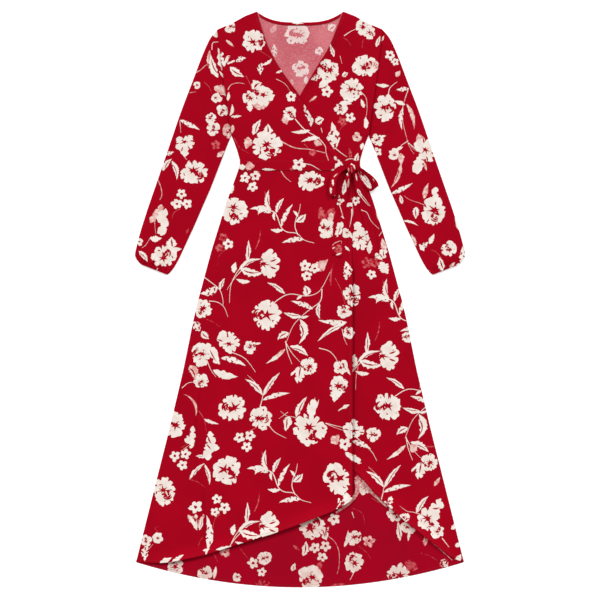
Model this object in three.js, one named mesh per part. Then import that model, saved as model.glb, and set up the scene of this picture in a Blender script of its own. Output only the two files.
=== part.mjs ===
// A long-sleeved wrap dress laid flat on its back, in millimetres, +Z up.
// X runs to the wearer's left, Y from hem to neck, and the floor is Z = 0.
// "down" is measured from the neck points toward the hem, "across" from the centre line.

import * as THREE from 'three';

// Driving dimensions
const LENGTH = 1417;
const CLOTH = 1.2;
const SEAM_GAP = 0.3;
const WAIST_SEAM = 379;
const NECK_HALF = 106;
const NECK_DROP = 26.6;
const NECK_ROUNDNESS = 3.2;
const SHOULDER_HALF = 203.5;
const HEM_HALF = 404;
const HEM_TIP = 1355;
const WRAP_EDGE = 129;
const UNDER_WRAP_EDGE = -113;
const BAND_TOP = 366.5;
const BAND_BOTTOM = 392;
const BAND_INSET = 0.5;
const BAND_EASE = 0.2;
const BINDING_WIDTH = 8;
const BINDING_HALF = 100;
const RIBBON_WIDTH = 24;
const BRIDGE_REACH = 14;
const RIBBON_EASE = 0.3;

// Heights at which the flat layers rest on each other
const LAYER = CLOTH + SEAM_GAP;
const UNDER_FRONT = LAYER;
const UPPER_FRONT = 2 * LAYER;
const DROP_RUN = 30;
const DROP_MARGIN = 28;

const RED = 0xa5001c;
const CRIMSON = 0xb00820;
const DARK_RED = 0x8c0018;
const ROSE = 0xc85064;

// Half width of the bodice and skirt at the armhole, armpit, waist and down the side seam
const SIDE_SEAM = [
  { down: 0, half: 203.5 }, { down: 45, half: 203.5 }, { down: 304, half: 168.5 },
  { down: 341, half: 155 }, { down: 366, half: 148 }, { down: 379, half: 148 },
  { down: 405, half: 157 }, { down: 464, half: 179 }, { down: 582, half: 216 },
  { down: 734, half: 257 }, { down: 882, half: 287 }, { down: 1030, half: 322 },
  { down: 1177, half: 359 }, { down: 1325, half: 396 }, { down: 1417, half: 418 },
];

// Shoulder seam from the neck point to the sleeve
const SHOULDER = [
  { across: 106, down: 0 }, { across: 135, down: 11 }, { across: 162, down: 26 },
  { across: 177, down: 33 }, { across: 203.5, down: 45 },
];

// Front edges of the two wrap bodices, from neck point to waist
const RIGHT_NECK_EDGE = [
  { down: 0, across: -106 }, { down: 73, across: -84 }, { down: 126, across: -58 },
  { down: 170, across: -28 }, { down: 208, across: -1 }, { down: 271, across: 36 },
  { down: 379, across: 113 },
];
const LEFT_NECK_EDGE = [
  { down: 0, across: 106 }, { down: 84, across: 73 }, { down: 124, across: 49 },
  { down: 164, across: 25 }, { down: 208, across: -1 }, { down: 271, across: -36 },
  { down: 379, across: UNDER_WRAP_EDGE },
];

// Hems of the two wrap skirts, read across from the wearer's right to the left
const RIGHT_SKIRT_HEM = [
  { across: -404, down: 1355 }, { across: -333, down: 1355 }, { across: -239, down: 1337 },
  { across: -160, down: 1312 }, { across: -47, down: 1277 }, { across: 57, down: 1238 },
  { across: 94, down: 1222 }, { across: 129, down: 1200 },
];
const LEFT_SKIRT_HEM = [
  { across: -113, down: 940 }, { across: 0, down: 1025 }, { across: 130, down: 1128 },
  { across: 179, down: 1179 }, { across: 251, down: 1247 }, { across: 339, down: 1317 },
  { across: 376, down: 1344 }, { across: 404, down: 1355 },
];

// Soft folds raised in each wrap skirt: a ridge from one point to another
const UPPER_FOLDS = [
  { across: 97, down: 396, toAcross: 72, toDown: 600, height: 2.4, halfWidth: 15 },
  { across: 117, down: 396, toAcross: 108, toDown: 680, height: 3, halfWidth: 12 },
  { across: -250, down: 880, toAcross: -238, toDown: 1372, height: 2.2, halfWidth: 26 },
  { across: -60, down: 560, toAcross: -120, toDown: 1290, height: 1.4, halfWidth: 48 },
];
const UNDER_FOLDS = [
  { across: 153, down: 396, toAcross: 176, toDown: 660, height: 3, halfWidth: 12 },
  { across: 200, down: 640, toAcross: 272, toDown: 1270, height: 1.6, halfWidth: 36 },
];

// How steeply a fold rises from its start and falls toward its end
const FOLD_RISE = 6;
const FOLD_FALL = 2.2;

// Sleeve sections from the armhole to the wrist: the two folded edges and the full depth
const SLEEVE_SECTIONS = [
  { outer: 203.8, outerDown: 45, inner: 168.8, innerDown: 304.3, depth: 2.7 },
  { outer: 222, outerDown: 68, inner: 173, innerDown: 315, depth: 3.8 },
  { outer: 241, outerDown: 110, inner: 183, innerDown: 340, depth: 4.8 },
  { outer: 266, outerDown: 176, inner: 200, innerDown: 384, depth: 5.4 },
  { outer: 293, outerDown: 247, inner: 219, innerDown: 433, depth: 5.4 },
  { outer: 320, outerDown: 326, inner: 239, innerDown: 479, depth: 5.4 },
  { outer: 347, outerDown: 405, inner: 258, innerDown: 523, depth: 5.4 },
  { outer: 374, outerDown: 483, inner: 276, innerDown: 562, depth: 5.4 },
  { outer: 393, outerDown: 543, inner: 289, innerDown: 590, depth: 5.6 },
  { outer: 403, outerDown: 582, inner: 299, innerDown: 611, depth: 6 },
  { outer: 406, outerDown: 599, inner: 310, innerDown: 630, depth: 6 },
  { outer: 402, outerDown: 610, inner: 318, innerDown: 640.5, depth: 5 },
];
const CUFF_SECTIONS = [
  { outer: 401.8, outerDown: 610.3, inner: 318.2, innerDown: 640.8, depth: 5 },
  { outer: 397, outerDown: 616.5, inner: 322, innerDown: 645, depth: 5 },
  { outer: 392, outerDown: 622, inner: 326, innerDown: 648, depth: 5 },
];
const CUFF_WAVES = 10;
const CUFF_WAVE_HEIGHT = 0.6;

// The bow: its knot, loops and the two free ends of the tie
const KNOT = { across: 127, down: 388, z: 13.4, halfAcross: 10.5, halfDown: 13, halfDepth: 8 };
const KNOT_PLEATS = 5;
const KNOT_PLEAT_DEPTH = 0.07;
const RIGHT_LOOP_WIDTH = 18;
const LEFT_LOOP_WIDTH = 28;

// Stops of each loop: out from the knot low, round its tip and back high. Wide is a share
// of the loop's width, heading the way it leaves the knot in degrees.
const RIGHT_LOOP = [
  { across: 114, down: 384.4, z: 9.8, wide: 0.55, heading: -160 },
  { across: 103, down: 387, z: 9.5, wide: 0.8, heading: -145 },
  { across: 94, down: 397, z: 9.3, wide: 1, heading: -125 },
  { across: 86, down: 414, z: 9.3, wide: 1, heading: -112 },
  { across: 83, down: 434, z: 9.5, wide: 1, heading: -98 },
  { across: 84.5, down: 449, z: 11.2, wide: 0.95, heading: -84 },
  { across: 85, down: 453, z: 14, wide: 0.9, heading: -82 },
  { across: 84, down: 449, z: 16.6, wide: 0.92, heading: -84 },
  { across: 81.5, down: 433, z: 18.2, wide: 0.95, heading: -98 },
  { across: 84, down: 415, z: 18.4, wide: 0.9, heading: -112 },
  { across: 92, down: 398, z: 17.8, wide: 0.78, heading: -128 },
  { across: 103, down: 387, z: 17.2, wide: 0.62, heading: -148 },
  { across: 115, down: 383, z: 14.6, wide: 0.45, heading: -160 },
];
const LEFT_LOOP = [
  { across: 139.2, down: 389.9, z: 9.8, wide: 0.36, heading: -42 },
  { across: 150, down: 400, z: 9.6, wide: 0.72, heading: -45 },
  { across: 161, down: 412, z: 9.4, wide: 0.95, heading: -46 },
  { across: 171, down: 423, z: 9.6, wide: 0.98, heading: -48 },
  { across: 178, down: 431, z: 11, wide: 0.86, heading: -50 },
  { across: 181.5, down: 434, z: 14, wide: 0.75, heading: -48 },
  { across: 181, down: 430, z: 17, wide: 0.7, heading: -46 },
  { across: 175, down: 420, z: 18.4, wide: 0.65, heading: -44 },
  { across: 165, down: 406, z: 18.6, wide: 0.6, heading: -42 },
  { across: 152, down: 394, z: 17.6, wide: 0.5, heading: -36 },
  { across: 139, down: 387, z: 14.6, wide: 0.34, heading: -32 },
];
const RIGHT_TAIL = [
  { across: 121, down: 398.5 }, { across: 109, down: 439 }, { across: 99, down: 488 },
  { across: 92, down: 537 }, { across: 91, down: 604 },
];
const LEFT_TAIL = [
  { across: 134, down: 398.5 }, { across: 152, down: 463 }, { across: 169, down: 525 },
  { across: 184, down: 602 },
];
const TAIL = {
  rise: 2.6, riseShare: 0.125, gathered: 0.5, spreadRate: 3, roundFrom: 0.93, roundReach: 0.09,
};

const yOf = (down) => LENGTH / 2 - down;
const mix = THREE.MathUtils.lerp;

/** Reads a table that rises in one column: the value of another column at a place. */
function readTable(rows, key, value, at) {
  const last = rows.length - 1;
  let i = 0;
  while (i < last - 1 && rows[i + 1][key] < at) i += 1;
  const share = (at - rows[i][key]) / (rows[i + 1][key] - rows[i][key]);
  return mix(rows[i][value], rows[i + 1][value], THREE.MathUtils.clamp(share, 0, 1));
}

/** Places from 0 to 1 that divide each stretch between stops into its own count. */
function spread(stops, counts) {
  const places = [stops[0]];
  counts.forEach((count, i) => {
    for (let k = 1; k <= count; k += 1) places.push(mix(stops[i], stops[i + 1], k / count));
  });
  return places;
}

const evenly = (count) => spread([0, 1], [count]);

/** Turns points and triangles into a flat-shaded closed geometry. */
function closedGeometry(points, triangles) {
  const geometry = new THREE.BufferGeometry();
  geometry.setAttribute('position', new THREE.Float32BufferAttribute(points.flat(), 3));
  geometry.setIndex(triangles.flat());
  geometry.computeVertexNormals();
  return geometry;
}

/** Joins two rows of a strip of quads, split into triangles. */
function quad(triangles, a, b, c, d) {
  triangles.push([a, b, c], [a, c, d]);
}

/**
 * A wall of cloth over a grid: place(s, t) gives across and down with s growing
 * across and t growing down, and underside(across, down) the height of its lower face.
 */
function clothPanel(columns, rows, place, underside, wall = CLOTH) {
  const points = [];
  const triangles = [];
  for (const lift of [wall, 0]) {
    for (const t of rows) {
      for (const s of columns) {
        const [across, down] = place(s, t);
        points.push([across, yOf(down), underside(across, down, t) + lift]);
      }
    }
  }
  const wide = columns.length;
  const tall = rows.length;
  const lower = wide * tall;
  const index = (i, j) => j * wide + i;
  for (let j = 0; j < tall - 1; j += 1) {
    for (let i = 0; i < wide - 1; i += 1) {
      const corners = [index(i, j), index(i, j + 1), index(i + 1, j + 1), index(i + 1, j)];
      quad(triangles, ...corners);
      quad(triangles, ...corners.reverse().map((corner) => corner + lower));
    }
  }
  const rim = [];
  for (let j = 0; j < tall - 1; j += 1) rim.push(index(0, j));
  for (let i = 0; i < wide - 1; i += 1) rim.push(index(i, tall - 1));
  for (let j = tall - 1; j > 0; j -= 1) rim.push(index(wide - 1, j));
  for (let i = wide - 1; i > 0; i -= 1) rim.push(index(i, 0));
  rim.forEach((corner, k) => {
    const next = rim[(k + 1) % rim.length];
    quad(triangles, corner, corner + lower, next + lower, next);
  });
  return closedGeometry(points, triangles);
}

/** A hollow tube through rings of an outer and an inner wall, open at both ends. */
function hollowTube(outerRings, innerRings) {
  const around = outerRings[0].length;
  const points = [...outerRings.flat(), ...innerRings.flat()];
  const triangles = [];
  const inside = outerRings.length * around;
  const index = (k, ring) => ring * around + (k % around);
  for (let ring = 0; ring < outerRings.length - 1; ring += 1) {
    for (let k = 0; k < around; k += 1) {
      const corners = [
        index(k, ring), index(k, ring + 1), index(k + 1, ring + 1), index(k + 1, ring),
      ];
      quad(triangles, ...corners);
      quad(triangles, ...corners.reverse().map((corner) => corner + inside));
    }
  }
  const end = outerRings.length - 1;
  for (let k = 0; k < around; k += 1) {
    quad(triangles, index(k, 0), index(k + 1, 0), index(k + 1, 0) + inside, index(k, 0) + inside);
    const near = index(k, end);
    const next = index(k + 1, end);
    quad(triangles, near, near + inside, next + inside, next);
  }
  return closedGeometry(points, triangles);
}

// Heights of the stacked layers

/** Height of the soft folds of a table at one place. */
function foldHeight(folds, across, down) {
  let height = 0;
  for (const fold of folds) {
    const share = (down - fold.down) / (fold.toDown - fold.down);
    if (share > 0 && share < 1) {
      const offset = (across - mix(fold.across, fold.toAcross, share)) / fold.halfWidth;
      const fade = Math.min(1, share * FOLD_RISE, (1 - share) * FOLD_FALL);
      const ridge = Math.abs(offset) < 1 ? (1 + Math.cos(Math.PI * offset)) / 2 : 0;
      height = Math.max(height, fold.height * fade * ridge);
    }
  }
  return height;
}

/** Share from 0 to 1 by which the upper front is carried on the under front. */
function carried(across, innerEdge) {
  const full = innerEdge - DROP_MARGIN;
  return THREE.MathUtils.smoothstep(across, full - DROP_RUN, full);
}

const underBodiceHeight = () => UNDER_FRONT;

function upperBodiceHeight(across, down) {
  const edge = readTable(LEFT_NECK_EDGE, 'down', 'across', down);
  return mix(UNDER_FRONT, UPPER_FRONT, carried(across, edge));
}

const underSkirtHeight = (across, down) => UNDER_FRONT + foldHeight(UNDER_FOLDS, across, down);

function upperSkirtHeight(across, down) {
  const flat = mix(UNDER_FRONT, UPPER_FRONT, carried(across, UNDER_WRAP_EDGE));
  return flat + foldHeight(UPPER_FOLDS, across, down);
}

/** Height just over both fronts, where the tie's ends lie. */
function overFronts(across, down) {
  const beyondWrap = THREE.MathUtils.smoothstep(across, WRAP_EDGE + 1, WRAP_EDGE + 12);
  const upper = upperSkirtHeight(across, down);
  const under = underSkirtHeight(across, down);
  return mix(upper, under, beyondWrap) + LAYER;
}

/** Height of the band's underside, clear of the folds below it. */
const bandHeight = (across, down) => overFronts(across, down) + BAND_EASE;

/** Height at which a ribbon bridges the folds that are near on both sides. */
function overFolds(across, down) {
  const places = [-1, -0.5, 0, 0.5, 1].map((share) => across + share * BRIDGE_REACH);
  return Math.max(...places.map((place) => overFronts(place, down))) + RIBBON_EASE;
}

// Outlines

const sideHalf = (down) => readTable(SIDE_SEAM, 'down', 'half', down);
const hemTipHalf = sideHalf(HEM_TIP);

function shoulderDown(across) {
  const reach = Math.abs(across);
  if (reach >= NECK_HALF) return readTable(SHOULDER, 'across', 'down', reach);
  return NECK_DROP * (1 - (reach / NECK_HALF) ** NECK_ROUNDNESS);
}

const backHemDown = (across) => LENGTH - (LENGTH - HEM_TIP) * (across / HEM_HALF) ** 2;

const BODICE_END = WAIST_SEAM - SEAM_GAP / 2;
const SKIRT_START = WAIST_SEAM + SEAM_GAP / 2;
const BELOW_BAND = 0.018;
const NECK_SHARE = (1 - NECK_HALF / SHOULDER_HALF) / 2;

function placeBackBodice(s, t) {
  const top = shoulderDown(mix(-SHOULDER_HALF, SHOULDER_HALF, s));
  const down = mix(top, BODICE_END, t);
  return [mix(-1, 1, s) * (sideHalf(down) - SEAM_GAP), down];
}

/** A wrap bodice from its armhole to its neck edge, side -1 for the wearer's right. */
function placeFrontBodice(side, edgeTable) {
  return (s, t) => {
    const inward = side < 0 ? s : 1 - s;
    const top = shoulderDown(mix(SHOULDER_HALF, NECK_HALF, inward));
    const down = mix(top, BODICE_END, t);
    const edge = readTable(edgeTable, 'down', 'across', down);
    return [mix(side * (sideHalf(down) - SEAM_GAP), edge, inward), down];
  };
}

function placeBackSkirt(s, t) {
  const down = mix(SKIRT_START, backHemDown(mix(-HEM_HALF, HEM_HALF, s)), t);
  return [mix(-1, 1, s) * Math.min(sideHalf(down), hemTipHalf), down];
}

function placeRightSkirt(s, t) {
  const hem = readTable(RIGHT_SKIRT_HEM, 'across', 'down', mix(-HEM_HALF, WRAP_EDGE, s));
  const down = mix(SKIRT_START, hem, t);
  return [mix(-sideHalf(down), WRAP_EDGE, s), down];
}

function placeLeftSkirt(s, t) {
  const hem = readTable(LEFT_SKIRT_HEM, 'across', 'down', mix(UNDER_WRAP_EDGE, HEM_HALF, s));
  const down = mix(SKIRT_START, hem, t);
  return [mix(UNDER_WRAP_EDGE, sideHalf(down), s), down];
}

function placeWaistband(s, t) {
  const down = mix(BAND_TOP, BAND_BOTTOM, t);
  return [mix(-1, 1, s) * (sideHalf(down) - BAND_INSET), down];
}

function placeBinding(s, t) {
  const across = mix(-BINDING_HALF, BINDING_HALF, s);
  return [across, shoulderDown(across) + t * BINDING_WIDTH];
}

/** A free end of the tie: a ribbon along its table, with a rounded end. */
function placeTail(table) {
  const stops = table.map((row) => new THREE.Vector2(row.across, row.down));
  const route = new THREE.SplineCurve(stops);
  return (s, t) => {
    const at = route.getPoint(t);
    const along = route.getTangent(t);
    const narrow = Math.min(1, TAIL.gathered + TAIL.spreadRate * t);
    const pastRound = Math.max(0, (t - TAIL.roundFrom) / TAIL.roundReach);
    const rounded = Math.sqrt(Math.max(0, 1 - pastRound ** 2));
    const half = (s - 0.5) * RIBBON_WIDTH * narrow * rounded;
    return [at.x + half * along.y, at.y - half * along.x];
  };
}

// Rings of a flattened sleeve

/** One ring round a flattened tube, with puckers of a given height in its upper face. */
function flatRing(section, side, inset, divisions, pucker) {
  const start = new THREE.Vector2(section.outer * side, yOf(section.outerDown));
  const stop = new THREE.Vector2(section.inner * side, yOf(section.innerDown));
  const middle = start.clone().add(stop).multiplyScalar(0.5);
  const along = stop.clone().sub(start);
  const radius = section.depth / 2;
  const straight = along.length() / 2 - radius;
  along.normalize();
  const profile = [];
  const inner = radius - inset;
  for (let k = 0; k <= divisions; k += 1) {
    const place = k / divisions;
    const wave = pucker * (1 - Math.cos(2 * Math.PI * CUFF_WAVES * place)) / 2;
    profile.push([mix(-straight, straight, place), radius + inner + wave]);
  }
  for (const turn of [0.25, 0, -0.25]) {
    const angle = turn * Math.PI;
    profile.push([straight + inner * Math.cos(angle), radius + inner * Math.sin(angle)]);
  }
  for (let k = 0; k <= divisions; k += 1) {
    profile.push([mix(straight, -straight, k / divisions), radius - inner]);
  }
  for (const turn of [-0.25, 0, 0.25]) {
    const angle = turn * Math.PI;
    profile.push([-straight - inner * Math.cos(angle), radius + inner * Math.sin(angle)]);
  }
  const ring = profile.map(([offset, z]) => [
    middle.x + along.x * offset, middle.y + along.y * offset, z,
  ]);
  return side > 0 ? ring.reverse() : ring;
}

/** A sleeve or cuff: two walls of rings through its sections. */
function flatTube(sections, side, divisions, pucker) {
  const walls = [0, CLOTH].map((inset) => sections.map(
    (section) => flatRing(section, side, inset, divisions, pucker),
  ));
  return hollowTube(...walls);
}

// The bow

/** The knot: a flattened ball with pleats that run over it, cut flat where it rests. */
function knotGeometry() {
  const geometry = new THREE.SphereGeometry(1, 16, 10);
  const floor = bandHeight(KNOT.across, KNOT.down) + LAYER;
  const stations = geometry.attributes.position;
  const points = [];
  for (let i = 0; i < stations.count; i += 1) {
    const [x, y, z] = [stations.getX(i), stations.getY(i), stations.getZ(i)];
    const pleat = 1 - KNOT_PLEAT_DEPTH * (1 + Math.cos(KNOT_PLEATS * Math.atan2(z, x)));
    const height = KNOT.z + z * KNOT.halfDepth * pleat;
    points.push([
      KNOT.across + x * KNOT.halfAcross * pleat,
      yOf(KNOT.down) + y * KNOT.halfDown,
      Math.max(height, floor),
    ]);
  }
  geometry.setAttribute('position', new THREE.Float32BufferAttribute(points.flat(), 3));
  return geometry;
}

/** A loop of the bow: a ribbon that runs out from the knot, turns and comes back. */
function loopGeometry(table, width) {
  const stops = table.map((row) => new THREE.Vector3(row.across, yOf(row.down), row.z));
  const route = new THREE.CatmullRomCurve3(stops);
  const stations = 2 * (stops.length - 1);
  const walls = [0, CLOTH].map((inset) => {
    const rows = [];
    for (let j = 0; j <= stations; j += 1) {
      const t = j / stations;
      const place = t * (stops.length - 1);
      const row = Math.min(Math.floor(place), stops.length - 2);
      const [here, next, share] = [table[row], table[row + 1], place - row];
      const wide = mix(here.wide, next.wide, share);
      const heading = THREE.MathUtils.degToRad(mix(here.heading, next.heading, share));
      const lateral = new THREE.Vector3(-Math.sin(heading), Math.cos(heading), 0);
      const at = route.getPoint(t);
      const normal = route.getTangent(t).cross(lateral).normalize();
      rows.push([-0.5, 0, 0.5].map((offset) => at.clone()
        .addScaledVector(lateral, offset * wide * width)
        .addScaledVector(normal, inset)
        .toArray()));
    }
    return rows;
  });
  return bandGeometry(...walls);
}

/** A closed ribbon wall between an outer and an inner sheet of points. */
function bandGeometry(outerRows, innerRows) {
  const wide = outerRows[0].length;
  const rings = outerRows.map((row, j) => [...row, ...[...innerRows[j]].reverse()]);
  const around = 2 * wide;
  const triangles = [];
  for (let j = 0; j < rings.length - 1; j += 1) {
    for (let k = 0; k < around; k += 1) {
      const next = (k + 1) % around;
      quad(triangles, j * around + k, j * around + next,
        (j + 1) * around + next, (j + 1) * around + k);
    }
  }
  const end = (rings.length - 1) * around;
  for (let i = 0; i < wide - 1; i += 1) {
    const corners = [i, around - 1 - i, around - 2 - i, i + 1];
    quad(triangles, ...corners);
    quad(triangles, ...corners.reverse().map((corner) => corner + end));
  }
  return closedGeometry(rings.flat(), triangles);
}

/** Height of a free end of the tie, which comes down from the knot. */
function tailHeight(across, down, t) {
  return overFolds(across, down) + TAIL.rise * Math.max(0, 1 - t / TAIL.riseShare);
}

// The dress
const group = new THREE.Group();

function add(name, geometry, color) {
  const material = new THREE.MeshStandardMaterial({ color, roughness: 0.85, metalness: 0 });
  const mesh = new THREE.Mesh(geometry, material);
  mesh.name = name;
  group.add(mesh);
}

const skirtRows = spread([0, BELOW_BAND, 1], [1, 17]);
const neckColumns = spread([0, NECK_SHARE, 1 - NECK_SHARE, 1], [3, 6, 3]);
add('back_bodice', clothPanel(neckColumns, evenly(9), placeBackBodice, () => 0), ROSE);
add('back_neck_binding', clothPanel(evenly(16), evenly(1), placeBinding, () => LAYER), CRIMSON);
add('left_front_bodice', clothPanel(
  evenly(8), evenly(14), placeFrontBodice(1, LEFT_NECK_EDGE), underBodiceHeight,
), RED);
add('right_front_bodice', clothPanel(
  evenly(12), evenly(14), placeFrontBodice(-1, RIGHT_NECK_EDGE), upperBodiceHeight,
), RED);
add('back_skirt', clothPanel(evenly(12), evenly(12), placeBackSkirt, () => 0), ROSE);
add('left_front_skirt', clothPanel(
  spread([0, 0.72, 1], [7, 10]), skirtRows, placeLeftSkirt, underSkirtHeight,
), CRIMSON);
add('right_front_skirt', clothPanel(
  spread([0, 0.78, 1], [10, 9]), skirtRows, placeRightSkirt, upperSkirtHeight,
), RED);
add('waistband', clothPanel(evenly(24), evenly(1), placeWaistband, bandHeight), CRIMSON);
for (const [name, side] of [['right', -1], ['left', 1]]) {
  add(`${name}_sleeve`, flatTube(SLEEVE_SECTIONS, side, 5, 0), RED);
  add(`${name}_cuff`, flatTube(CUFF_SECTIONS, side, 2 * CUFF_WAVES, CUFF_WAVE_HEIGHT), DARK_RED);
}
add('bow_knot', knotGeometry(), CRIMSON);
add('bow_loop_right', loopGeometry(RIGHT_LOOP, RIGHT_LOOP_WIDTH), RED);
add('bow_loop_left', loopGeometry(LEFT_LOOP, LEFT_LOOP_WIDTH), RED);
add('tie_tail_right', clothPanel(evenly(3), evenly(18), placeTail(RIGHT_TAIL), tailHeight), CRIMSON);
add('tie_tail_left', clothPanel(evenly(3), evenly(18), placeTail(LEFT_TAIL), tailHeight), CRIMSON);

export default group;
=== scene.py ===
"""A floral wrap dress laid flat on a pale floor and seen from straight above.

Shapes are worked out in millimetres in the dress's own frame, X to the wearer's left
and Y toward the neck, and every mesh is written in metres. "down" is measured from the
neck points toward the hem. The print is drawn in chart units, 260 to one repeat.
"""
import logging
import math
from dataclasses import dataclass, field
from enum import Enum
from functools import partial
from typing import Callable, Sequence

import bpy
import numpy as np
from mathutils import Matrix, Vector, geometry


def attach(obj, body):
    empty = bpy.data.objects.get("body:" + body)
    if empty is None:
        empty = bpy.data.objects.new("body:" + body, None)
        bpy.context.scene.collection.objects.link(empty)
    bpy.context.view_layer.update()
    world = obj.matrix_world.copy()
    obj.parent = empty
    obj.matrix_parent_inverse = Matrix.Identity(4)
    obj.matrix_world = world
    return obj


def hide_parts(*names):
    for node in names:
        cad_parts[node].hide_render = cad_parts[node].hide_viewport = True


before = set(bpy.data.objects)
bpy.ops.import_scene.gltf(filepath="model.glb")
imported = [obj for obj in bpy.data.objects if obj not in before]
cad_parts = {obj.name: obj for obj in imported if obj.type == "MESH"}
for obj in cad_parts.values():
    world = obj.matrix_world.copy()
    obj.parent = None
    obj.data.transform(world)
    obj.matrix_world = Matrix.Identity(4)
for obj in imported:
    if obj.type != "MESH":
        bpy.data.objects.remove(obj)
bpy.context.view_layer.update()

LOG = logging.getLogger("wrap_dress")
MM = 0.001
LENGTH = 1417.0
HALF_LENGTH = LENGTH / 2

# The print's scale: a screen's round over the chart units of one repeat
REPEAT = 640.0
CHART_UNIT = REPEAT / 260
CHART_SIDE = 600
CHART_CENTRE = 300.0
CHART_MIDDLE = 299.5

# Thicknesses, and the heights of the layers
CLOTH = 0.8
WALL = 1.2
SEAM_GAP = 0.3
LAYER = WALL + SEAM_GAP
UNDER_FRONT = LAYER
TOP_OF_WALL = 1.1
BACK_TOP = 0.95
DROP_RUN = 30.0
DROP_MARGIN = 28.0

WAIST_SEAM = 379.0
NECK_HALF = 106.0
NECK_DROP = 26.6
NECK_ROUNDNESS = 3.2
SHOULDER_HALF = 203.5
SHOULDER_END = 45.0
ARMPIT_HALF = 168.5
ARMPIT = 304.0
HEM_HALF = 404.0
HEM_TIP = 1355.0
WRAP_EDGE = 129.0
UNDER_WRAP_EDGE = -113.0
BAND_TOP = 366.5
BAND_BOTTOM = 392.0
BINDING_WIDTH = 8.0
BINDING_CUT = 10.0
BINDING_HALF = 100.0
RIBBON_WIDTH = 24.0

Points = np.ndarray
Table = dict[str, Sequence[float]]
Rgb = tuple[int, int, int]

# Half width against the distance down: armhole, armpit, waist and side seam
SIDE_SEAM = {
    "down": (0, 45, 304, 341, 366, 379, 405, 464, 582, 734, 882, 1030, 1177, 1325, 1417),
    "half": (203.5, 203.5, 168.5, 155, 148, 148, 157, 179, 216, 257, 287, 322, 359, 396, 418),
}
SHOULDER = {"across": (106, 135, 162, 177, 203.5), "down": (0, 11, 26, 33, 45)}
RIGHT_NECK_EDGE = {
    "down": (0, 73, 126, 170, 208, 271, 379),
    "across": (-106, -84, -58, -28, -1, 36, 113),
}
LEFT_NECK_EDGE = {
    "down": (0, 84, 124, 164, 208, 271, 379),
    "across": (106, 73, 49, 25, -1, -36, -113),
}
RIGHT_SKIRT_HEM = {
    "across": (-404, -333, -239, -160, -47, 57, 94, 129),
    "down": (1355, 1355, 1337, 1312, 1277, 1238, 1222, 1200),
}
LEFT_SKIRT_HEM = {
    "across": (-113, 0, 130, 179, 251, 339, 376, 404),
    "down": (940, 1025, 1128, 1179, 1247, 1317, 1344, 1355),
}
SLEEVE_OUTER = {
    "down": (45, 68, 110, 176, 247, 326, 405, 483, 543, 582, 599, 610, 622),
    "across": (203.8, 222, 241, 266, 293, 320, 347, 374, 393, 403, 406, 402, 392),
}
SLEEVE_INNER = {
    "down": (304.3, 315, 340, 384, 433, 479, 523, 562, 590, 611, 630, 640.5, 648),
    "across": (168.8, 173, 183, 200, 219, 239, 258, 276, 289, 299, 310, 318, 326),
}


class Ink(Enum):
    """What a patch of the printed cloth is coloured with."""

    GROUND = 0
    CREAM = 1
    BLUSH = 2
    ROSE = 3


class LeafStyle(Enum):
    """How the inside of a printed leaf is broken."""

    PLAIN = 0
    SLIT = 1
    HOLED = 2


def srgb(red: int, green: int, blue: int) -> tuple[float, float, float, float]:
    """Turns a colour as seen, 0 to 255, into the linear colour a shader takes."""
    shares = (channel / 255 for channel in (red, green, blue))
    return (*(s / 12.92 if s <= 0.04045 else ((s + 0.055) / 1.055) ** 2.4 for s in shares), 1.0)


def smooth(value: np.ndarray) -> np.ndarray:
    """Eases a share from 0 to 1 with a soft start and end."""
    share = np.clip(value, 0.0, 1.0)
    return share * share * (3 - 2 * share)


def bell(gap: np.ndarray, reach: float) -> np.ndarray:
    """A soft bell, 1 where the gap is 0 and small past its reach."""
    return np.exp(-((gap / reach) ** 2))


def quarter_round(share: np.ndarray) -> np.ndarray:
    """Height of a quarter circle, steep at 0 and level at 1."""
    return np.sqrt(1 - (1 - np.clip(share, 0, 1)) ** 2)


def ray(turn: float) -> Points:
    """The step of length 1 at an angle in radians."""
    return np.array([math.cos(turn), math.sin(turn)])


def read(table: Table, key: str, value: str, at: np.ndarray) -> np.ndarray:
    """Reads one column of a table at places in another column that rises."""
    return np.interp(at, table[key], table[value])


def down_of(points: Points) -> np.ndarray:
    """Distance down of points in plan."""
    return HALF_LENGTH - points[:, 1]


def side_half(down: np.ndarray) -> np.ndarray:
    """Half width of the body of the dress at a distance down."""
    return read(SIDE_SEAM, "down", "half", down)


def shoulder_down(across: np.ndarray) -> np.ndarray:
    """Distance down of the shoulder seams and the back neckline.

    Args:
        across: places to the side.

    Returns:
        The distance at each.
    """
    reach = np.abs(across)
    scoop = NECK_DROP * (1 - np.minimum(reach / NECK_HALF, 1) ** NECK_ROUNDNESS)
    return np.where(reach >= NECK_HALF, read(SHOULDER, "across", "down", reach), scoop)


def plan(across: Sequence[float], down: Sequence[float]) -> Points:
    """Pairs of across and down as X and Y in millimetres."""
    return np.column_stack([np.asarray(across, float), HALF_LENGTH - np.asarray(down, float)])


def back_hem(count: int) -> Points:
    """The back hem in plan, from the wearer's right to the left."""
    across = np.linspace(-HEM_HALF, HEM_HALF, count)
    return plan(across, LENGTH - (LENGTH - HEM_TIP) * (across / HEM_HALF) ** 2)


def from_chart(outline: Points) -> Points:
    """Places an outline of the print's chart on the dress, in millimetres."""
    offset = (outline - np.array([CHART_CENTRE, CHART_MIDDLE])) * CHART_UNIT
    return offset * np.array([1, -1])


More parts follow.
